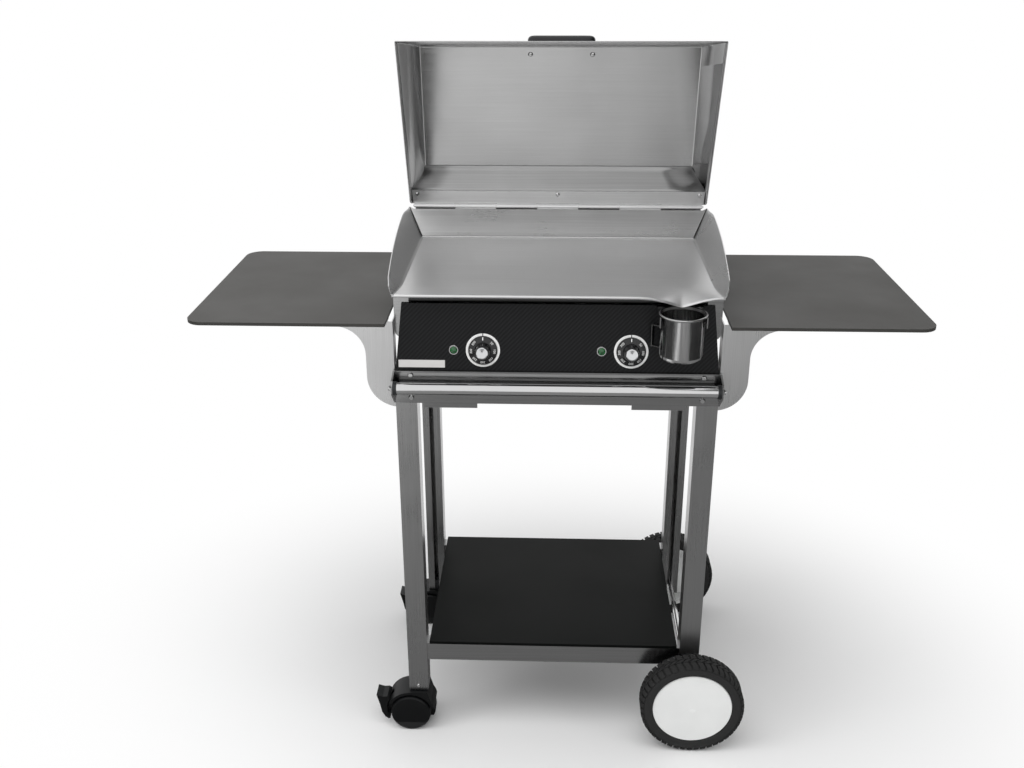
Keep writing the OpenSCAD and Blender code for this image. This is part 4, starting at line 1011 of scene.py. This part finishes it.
@dataclass
class Hood:
    """Folded hood: one bent sheet with mitred sides, hemmed edges, its liner and its grip.

    Points are given in the frame of the shut hood: across, forward from the hinge, and up.
    """

    bench: Bench
    hinge_mm: tuple[float, float] = (235.6134, 1026.0)  # Y and Z of the pin
    turn: float = math.radians(64.0)
    rear_mm: float = 45.0
    rear_low_mm: float = 7.0
    heel_mm: tuple[float, float] = (6.0, 4.0)
    top_mm: float = 356.0
    front_mm: float = 107.0
    slope: float = math.radians(54.0)
    fold_mm: float = 286.0
    taper: float = 0.038
    edge_mm: tuple[float, float] = (317.8, 304.9)  # half width at the heel and at the lip
    sheet_mm: float = 1.5
    bend_mm: float = 2.4
    bend_steps: int = 4
    fold_above: float = math.radians(20.0)
    hem_mm: float = 4.5
    hem_inset_mm: float = 2.16
    liner_mm: float = 0.8
    liner_inset_mm: float = 2.2
    post_mm: float = 60.0
    grip_x_mm: float = 3.0
    grip_at_mm: float = 339.0
    grip_out_mm: float = 45.0
    grip_half_mm: float = 66.5
    grip_facets: int = 48
    post_facets: int = 32

    def point(self, x: float, forward: float, up: float) -> Vector:
        """Turns a point of the shut hood's frame to its place in the open hood.

        Args:
            x: Across, in millimetres.
            forward: Forward from the hinge.
            up: Up from the hinge.

        Returns:
            The place, in metres.
        """
        cos, sin = math.cos(self.turn), math.sin(self.turn)
        y = self.hinge_mm[0] - forward * cos + up * sin
        z = self.hinge_mm[1] + forward * sin + up * cos
        return Vector((x, y, z)) * MM

    def half(self, forward: float, up: float, inset: float = 0.0) -> float:
        """Gives the half width of the hood at a point of its outline.

        Args:
            forward: Forward from the hinge, in millimetres.
            up: Up from the hinge.
            inset: Distance inside the side sheet.

        Returns:
            The half width, less the inset.
        """
        heel_at, heel_up = self.heel_mm
        lip_at, lip_up = self.lip()
        share = (forward - heel_at) / (lip_at - heel_at)
        edge = self.edge_mm[0] + (self.edge_mm[1] - self.edge_mm[0]) * share
        edge_up = heel_up + (lip_up - heel_up) * share
        fold = self.fold_mm - self.taper * forward
        return fold + (edge - fold) * (self.rear_mm - up) / (self.rear_mm - edge_up) - inset

    def lip(self) -> tuple[float, float]:
        """Gives the front edge of the sloped front.

        Returns:
            How far forward and how far up it is.
        """
        run = self.front_mm
        return (self.top_mm + run * math.cos(self.slope), self.rear_mm - run * math.sin(self.slope))

    def shell(self) -> None:
        """Adds the bent sheet with its rounded folds."""
        outline = [(0.0, self.rear_low_mm), (0.0, self.rear_mm), (self.top_mm, self.rear_mm)]
        outline.append(self.lip())
        mesh = bmesh.new()
        sides = []
        for sign in (-1, 1):
            edge = [mesh.verts.new(self.point(sign * self.half(f, u), f, u)) for f, u in outline]
            heel = self.point(sign * self.half(*self.heel_mm), *self.heel_mm)
            mesh.faces.new(edge + [mesh.verts.new(heel)])
            sides.append(edge)
        lay(mesh, sides)
        made = self.bench.piece("hood_folded", mesh, HOOD_STEEL, "hood", "stainless")
        if self.normal_inward(made):
            made.data.flip_normals()
        folds = made.modifiers.new("folds", "BEVEL")
        folds.width, folds.segments = self.bend_mm * MM, self.bend_steps
        folds.limit_method = "ANGLE"
        folds.angle_limit, folds.harden_normals = self.fold_above, True
        thick = made.modifiers.new("sheet", "SOLIDIFY")
        thick.thickness, thick.offset, thick.use_even_offset = self.sheet_mm * MM, -1.0, True
        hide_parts("hood_shell")

    def normal_inward(self, made: Object) -> bool:
        """Tells whether the normal of a piece's largest face points into the hood.

        Args:
            made: The piece.

        Returns:
            True if it points inwards.
        """
        up = self.point(0, 0, 1) - self.point(0, 0, 0)
        top = max(made.data.polygons, key=lambda face: face.area)
        return top.normal.dot(up) < 0

    def strip(self, mesh: Mesh, ring: Sequence[Vector], out: Vector) -> None:
        """Adds a flat strip of sheet.

        Args:
            mesh: Mesh that gets the strip.
            ring: Its four corners.
            out: Its thickness, and the way that it goes.
        """
        near = [mesh.verts.new(corner) for corner in ring]
        far = [mesh.verts.new(corner + out) for corner in ring]
        mesh.faces.new(near)
        mesh.faces.new(far[::-1])
        for i in range(4):
            j = (i + 1) % 4
            mesh.faces.new((near[i], near[j], far[j], far[i]))

    def hems(self) -> None:
        """Adds the edges of the side sheets, folded back on themselves inside the hood."""
        mesh = bmesh.new()
        (front, drop), (heel, low) = self.lip(), self.heel_mm
        # along the edge and back inside it, with its corners cut
        path = ((heel, low), (front - 4, drop + 0.6))
        path += ((front - 9, drop + self.hem_mm), (heel + 2, low + self.hem_mm))
        for sign in (-1, 1):
            ring = [self.point(sign * self.half(f, u, self.hem_inset_mm), f, u) for f, u in path]
            self.strip(mesh, ring, Vector((-sign * self.sheet_mm * MM, 0, 0)))
        hems = self.bench.piece("hood_hems", mesh, HOOD_STEEL, "hood", "stainless")
        soften(hems, width_mm=0.5)

    def liner(self) -> None:
        """Adds the curved sheet that closes the corner between the hinge strip and the top."""
        curve = [(34.0, 5.2), (37.5, 5.5), (39.5, 6.6), (42.0, 9.5), (63.0, 36.0), (66.0, 39.4)]
        curve += [(69.5, 42.0), (74.0, 43.3)]
        mesh = bmesh.new()
        rows = []
        for share in (i / 4 for i in range(-4, 5)):
            row = [(share * self.half(f, u, self.liner_inset_mm), f, u) for f, u in curve]
            rows.append([mesh.verts.new(self.point(*spot)) for spot in row])
        lay(mesh, rows)
        made = self.bench.piece("hood_liner", mesh, LINER_STEEL, "hood", "stainless")
        thick = made.modifiers.new("sheet", "SOLIDIFY")
        thick.thickness = self.liner_mm * MM
        thick.offset = 1.0 if self.normal_inward(made) else -1.0

    def frame_at(self, x: float, forward: float, up: float) -> Matrix:
        """Gives a frame on the hood whose Y points out of the top panel.

        Args:
            x: Across, in millimetres.
            forward: Forward from the hinge.
            up: Up from the hinge.

        Returns:
            The frame.
        """
        out = (self.point(0, 0, 1) - self.point(0, 0, 0)).normalized()
        across = Vector((1, 0, 0))
        turn = Matrix((across, out, across.cross(out))).transposed().to_4x4()
        return Matrix.Translation(self.point(x, forward, up)) @ turn

    def grip(self) -> None:
        """Adds the grip with domed ends, its two posts and the screws inside the hood."""
        half, out = self.grip_half_mm, self.grip_out_mm
        end = [(0.0, -half), (3.6, -half + 0.3), (6.6, -half + 1.5), (8.9, -half + 3.8)]
        end += [(10.3, -half + 7.2), (10.9, -half + 12), (11.0, -half + 22)]
        spot = self.point(self.grip_x_mm, self.grip_at_mm, self.rear_mm + out)
        turn = Matrix.Translation(spot) @ Matrix.Rotation(math.radians(90), 4, "Z")
        bar = bmesh.new()
        spin(bar, end + [(r, -y) for r, y in reversed(end)], self.grip_facets, False, turn)
        made = self.bench.piece("hood_grip_moulded", bar, GRIP_PLASTIC, "hood", "phenolic")
        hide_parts("hood_handle_grip")
        post = [(0.0, 0.0), (8.2, 0.0), (8.6, 0.8), (7.6, 2.4), (5.8, 5.0), (5.2, 9.0), (5.0, 20.0)]
        post += [(5.4, out - 12), (6.6, out - 6), (0.0, out - 5)]
        screw = [(0.0, -1.4), (4.6, -1.5), (4.9, -2.0), (4.3, -3.1), (3.0, -3.9), (1.2, -4.3)]
        screw += [(0.0, -4.3)]
        posts, screws = bmesh.new(), bmesh.new()
        for x in (self.grip_x_mm - self.post_mm, self.grip_x_mm + self.post_mm):
            frame = self.frame_at(x, self.grip_at_mm, self.rear_mm)
            spin(posts, post, self.post_facets, False, frame)
            spin(screws, screw, self.post_facets, False, frame)
        made = self.bench.piece("hood_grip_posts", posts, GRIP_PLASTIC, "hood", "phenolic")
        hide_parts("hood_handle_posts")
        self.bench.piece("hood_grip_screws", screws, BRIGHT_STEEL, "hood", "polished_steel")

    def build(self) -> None:
        """Builds the hood in the place of its nodes."""
        self.shell()
        self.hems()
        self.liner()
        self.grip()


@dataclass
class HousingMouth:
    """Rolled edge of the housing, in the gap between the griddle and the fascia, painted nearly
    black as painted shade under the plate.
    """

    bench: Bench
    half_mm: float = 272.0
    y_mm: float = -173.75
    z_mm: float = 951.0
    radius_mm: float = 5.7
    chamfer_mm: float = 0.8
    short_mm: float = 0.4
    facets: int = 40

    def build(self) -> None:
        """Builds the rolled edge with its cut ends."""
        end, r, cut = self.short_mm - self.half_mm, self.radius_mm, self.chamfer_mm
        mesh = bmesh.new()
        outline = [(0.0, end), (r - cut, end), (r, end + cut)]
        spot = Matrix.Translation(Vector((0, self.y_mm, self.z_mm)) * MM)
        turn = spot @ Matrix.Rotation(math.radians(90), 4, "Z")
        spin(mesh, outline + [(x, -y) for x, y in reversed(outline)], self.facets, False, turn)
        # painted shade: the rolled edge is painted nearly black for the dark under the plate
        self.bench.piece("housing_rolled_edge", mesh, PAINTED_SHADE_STEEL, "cart", "stainless")


@dataclass
class Dial:
    """Printing on a knob: seven plain numbers on its skirt and a pointer tick at the top."""

    bench: Bench
    side: str
    x_mm: float
    z_mm: float = 858.0
    face_y_mm: float = -196.75
    foot_z_mm: float = 820.0
    tilt: float = math.radians(7.5)
    numbers: tuple[str, ...] = ("50", "100", "150", "200", "250", "300", "350")
    first: float = 50.0
    spacing: float = 43.3
    ring_mm: float = 21.6
    skirt_mm: float = 5.15
    cone: float = math.radians(14.0)
    height_mm: float = 4.3
    cap_share: float = 0.7
    ink_mm: float = 0.06
    lift_mm: float = 0.05
    tick_at_mm: tuple[float, float] = (22.3, 5.0)  # from the knob's axis, and from the fascia
    tick_mm: tuple[float, float, float] = (1.7, 5.8, 0.24)

    def place(self) -> Matrix:
        """Gives the frame of the fascia's face at the knob, +Z pointing out of it.

        Returns:
            The frame.
        """
        y = self.face_y_mm + (self.z_mm - self.foot_z_mm) * math.tan(self.tilt)
        return Matrix.Translation(Vector((self.x_mm, y, self.z_mm)) * MM) @ Matrix.Rotation(
            math.radians(90) - self.tilt, 4, "X"
        )

    def word(self, words: str) -> Mesh:
        """Gives one number as a thin solid, centred, upright in its own plane.

        Args:
            words: The number.

        Returns:
            Its mesh.
        """
        curve = bpy.data.curves.new("number", "FONT")
        curve.body, curve.size = words, self.height_mm * MM / self.cap_share
        curve.extrude = self.ink_mm * MM
        curve.align_x, curve.align_y, curve.resolution_u = "CENTER", "CENTER", 3
        holder = bpy.data.objects.new("number", curve)
        bpy.context.scene.collection.objects.link(holder)
        bpy.context.view_layer.update()
        seen = holder.evaluated_get(bpy.context.evaluated_depsgraph_get())
        mesh = bmesh.new()
        mesh.from_mesh(seen.to_mesh())
        seen.to_mesh_clear()
        bpy.data.objects.remove(holder)
        bpy.data.curves.remove(curve)
        return mesh

    def build(self) -> None:
        """Prints the knob."""
        print_mesh = bmesh.new()
        tip = Matrix.Rotation(-self.cone, 4, "X")
        for i, words in enumerate(self.numbers):
            word = self.word(words)
            turn = Matrix.Rotation(-math.radians(self.first + i * self.spacing), 4, "Z")
            out = Matrix.Translation((0, self.ring_mm * MM, (self.skirt_mm + self.lift_mm) * MM))
            bmesh.ops.transform(word, matrix=self.place() @ turn @ out @ tip, verts=word.verts)
            held = bpy.data.meshes.new("held")
            word.to_mesh(held)
            word.free()
            print_mesh.from_mesh(held)
            bpy.data.meshes.remove(held)
        tick = bmesh.ops.create_cube(print_mesh, size=1.0)["verts"]
        spot = Matrix.Translation(Vector((0, *self.tick_at_mm)) * MM)
        size = Matrix.Diagonal((*(Vector(self.tick_mm) * MM), 1))
        bmesh.ops.transform(print_mesh, matrix=self.place() @ spot @ tip @ size, verts=tick)
        name, body = f"knob_{self.side}_numbers", f"knob_{self.side}"
        self.bench.piece(name, print_mesh, PRINT_WHITE, body, "white_print", smooth=False)


# Name, place, point that it shines at, size in metres, and watts
LAMPS = (
    ("softbox_over", (-0.7, -0.9, 3.4), (0, 0, 0.7), (3.6, 2.8), 62),
    ("softbox_left", (-3.0, -1.4, 2.3), (0, 0, 0.8), (1.4, 1.4), 20),
    ("softbox_right", (3.0, -1.8, 2.3), (0, 0, 0.8), (1.2, 1.4), 10),
)
# Name, reach in X, reach in Y, and colour of the cards that lie on the floor
FLOOR_CARDS = (
    ("card_low", (-0.6, 1.5), (-3.8, 0.5), "#8c8c8c"),
    ("card_low_left", (-3.2, -1.2), (-3.8, 0.8), "#2c2c2c"),
    ("card_low_right", (1.5, 3.2), (-3.8, 0.8), "#242424"),
)
# Name, X and colour of the cards that stand at the sides, and their outline in Y and Z
SIDE_CARDS = (("card_left", -3.3, "#4a4a4a"), ("card_right", 3.3, "#303030"))
SIDE_OUTLINE = ((-4.2, 0), (1.4, 0), (1.4, 1.7), (-4.2, 1.7))
# Corners and colour of the card that hangs slanting over the right side
OVER_CORNERS = ((0.6, -2.6, 3.0), (3.3, -2.6, 1.5), (3.3, 1.4, 1.5), (0.6, 1.4, 3.0))
OVER_COLOUR = "#505050"


@dataclass
class Studio:
    """Pale floor, soft light and the camera of the photograph's view."""

    camera_at: tuple[float, float, float] = (-0.0120, -2.04865, 1.5669)
    yaw: float = -0.038
    pitch: float = 0.3955
    roll: float = -0.0028
    lens_mm: float = 38.0
    sensor_mm: float = 36.0
    floor_half_m: float = 14.0
    floor_colour: str = "#f2f2f2"
    floor_reach_m: tuple[float, float] = (1.35, 1.1)
    floor_fade: tuple[float, float] = (0.35, 1.0)
    world_light: float = 0.62
    card_up_m: float = 0.02
    card_roughness: float = 0.9

    def camera(self) -> None:
        """Sets the camera where the photograph was taken."""
        data = bpy.data.cameras.new("camera")
        data.lens, data.sensor_width = self.lens_mm, self.sensor_mm
        made = bpy.data.objects.new("camera", data)
        bpy.context.scene.collection.objects.link(made)
        level = math.cos(self.pitch)
        ahead = (math.sin(self.yaw) * level, math.cos(self.yaw) * level, -math.sin(self.pitch))
        way = Vector(ahead)
        right = Vector((math.cos(self.yaw), -math.sin(self.yaw), 0))
        up = right.cross(way)
        across = right * math.cos(self.roll) + up * math.sin(self.roll)
        over = up * math.cos(self.roll) - right * math.sin(self.roll)
        turn = Matrix((across, over, -way)).transposed().to_4x4()
        made.matrix_world = Matrix.Translation(self.camera_at) @ turn
        bpy.context.scene.camera = made

    def sheet(self, name: str, corners: Sequence[Sequence[float]], material: Material) -> Object:
        """Lays one flat face of the stage.

        Args:
            name: Its name.
            corners: Its four corners, in metres.
            material: Its material.

        Returns:
            The new object.
        """
        data = bpy.data.meshes.new(name)
        data.from_pydata([tuple(corner) for corner in corners], [], [(0, 1, 2, 3)])
        data.materials.append(material)
        made = bpy.data.objects.new(name, data)
        bpy.context.scene.collection.objects.link(made)
        return made

    def floor(self) -> None:
        """Lays the pale floor."""
        half = self.floor_half_m
        corners = ((-half, -half, 0), (half, -half, 0), (half, half, 0), (-half, half, 0))
        self.sheet("floor", corners, self.floor_paint())

    def floor_paint(self) -> Material:
        """Makes the floor's paint: pale and shaded round the cart, plain white further out.

        Returns:
            The material.
        """
        made = bpy.data.materials.new("studio_floor")
        made.use_nodes = True
        tree = made.node_tree
        tree.nodes.clear()
        base = linear(self.floor_colour)
        paint = add_node(
            tree,
            "BsdfPrincipled",
            values={"Base Color": base, "Roughness": 0.9, "Specular IOR Level": 0.1},
        )
        white = add_node(tree, "Emission", values={"Color": (1, 1, 1, 1), "Strength": 1.0})
        place = add_node(tree, "TexCoord")
        reach = (1 / self.floor_reach_m[0], 1 / self.floor_reach_m[1], 0)
        scaled = add_node(
            tree, "Mapping", values={"Scale": reach}, links={"Vector": place.outputs["Object"]}
        )
        far = add_node(
            tree,
            "VectorMath",
            settings={"operation": "LENGTH"},
            links={0: scaled.outputs["Vector"]},
        )
        fade = add_node(
            tree,
            "MapRange",
            settings={"interpolation_type": "SMOOTHSTEP"},
            values={"From Min": self.floor_fade[0], "From Max": self.floor_fade[1]},
            links={"Value": far.outputs["Value"]},
        )
        shown = add_node(
            tree,
            "Math",
            settings={"operation": "MULTIPLY"},
            links={0: fade.outputs["Result"], 1: self.seen(tree)},
        )
        mixed = add_node(
            tree,
            "MixShader",
            links={0: shown.outputs[0], 1: paint.outputs["BSDF"], 2: white.outputs[0]},
        )
        add_node(tree, "OutputMaterial", links={"Surface": mixed.outputs[0]})
        return made

    def seen(self, tree: Tree) -> Socket:
        """Tells what the camera, the gloss of metal or clear plastic sees from plain light.

        Args:
            tree: Tree that gets the nodes.

        Returns:
            A socket that is 1 for what is seen, and 0 for light.
        """
        path = add_node(tree, "LightPath")
        found = path.outputs["Is Camera Ray"]
        for ray in ("Is Glossy Ray", "Is Transmission Ray"):
            links = {0: found, 1: path.outputs[ray]}
            found = add_node(tree, "Math", {"operation": "MAXIMUM"}, links=links).outputs[0]
        return found

    def world(self) -> None:
        """Lights the room evenly, with a white background behind the object and in its gloss."""
        made = bpy.data.worlds.new("studio")
        made.use_nodes = True
        tree = made.node_tree
        tree.nodes.clear()
        lit, shown = (
            add_node(tree, "Background", values={"Color": (1, 1, 1, 1), "Strength": strength})
            for strength in (self.world_light, 1.0)
        )
        mixed = add_node(
            tree,
            "MixShader",
            links={0: self.seen(tree), 1: lit.outputs[0], 2: shown.outputs[0]},
        )
        add_node(tree, "OutputWorld", links={"Surface": mixed.outputs[0]})
        bpy.context.scene.world = made

    def lamp(
        self,
        name: str,
        at: Sequence[float],
        aim: Sequence[float],
        size: tuple[float, float],
        power: float,
    ) -> None:
        """Hangs one softbox, which lights the object and doesn't show in its gloss.

        Args:
            name: Name of the lamp.
            at: Its place.
            aim: Point that it shines at.
            size: Width and height in metres.
            power: Watts.
        """
        data = bpy.data.lights.new(name, "AREA")
        data.shape, data.size, data.size_y, data.energy = "RECTANGLE", size[0], size[1], power
        made = bpy.data.objects.new(name, data)
        bpy.context.scene.collection.objects.link(made)
        made.location = at
        made.rotation_mode = "QUATERNION"
        made.rotation_quaternion = (Vector(aim) - Vector(at)).to_track_quat("-Z", "Y")
        made.visible_glossy = False

    def card(self, name: str, corners: Sequence[Sequence[float]], colour: str) -> None:
        """Sets up a grey card that only the gloss of the metal sees.

        Args:
            name: Name of the card.
            corners: Its four corners, in metres.
            colour: Its colour, sRGB.
        """
        paint = Finish("studio_" + name, colour, self.card_roughness)
        made = self.sheet(name, corners, paint.material())
        made.visible_camera = made.visible_diffuse = made.visible_shadow = False

    def build(self) -> None:
        """Sets up the whole studio."""
        bpy.context.scene.view_settings.view_transform = "Standard"
        self.camera()
        self.floor()
        self.world()
        for lamp in LAMPS:
            self.lamp(*lamp)
        for name, (left, right), (front, back), colour in FLOOR_CARDS:
            flat = ((left, front), (right, front), (right, back), (left, back))
            self.card(name, [(x, y, self.card_up_m) for x, y in flat], colour)
        for name, x, colour in SIDE_CARDS:
            self.card(name, [(x, y, z) for y, z in SIDE_OUTLINE], colour)
        self.card("card_over_right", OVER_CORNERS, OVER_COLOUR)
        LOG.info("studio ready")


def main() -> None:
    """Builds the studio and dresses the object, one sub-assembly after another."""
    logging.basicConfig(level=logging.INFO, format="%(message)s")
    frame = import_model()
    Studio().build()
    bench = Bench(frame)
    bench.dress_nodes()
    Griddle(bench).build()
    Hood(bench).build()
    HousingMouth(bench).build()
    for end in ENDS:
        TreadedTyre(bench, f"wheel_{end}", f"wheel_{end}_tyre").build()
    for side, x_mm in (("left", -DIAL_X_MM), ("right", DIAL_X_MM)):
        Dial(bench, side, x_mm).build()


if __name__ == "__main__":
    main()
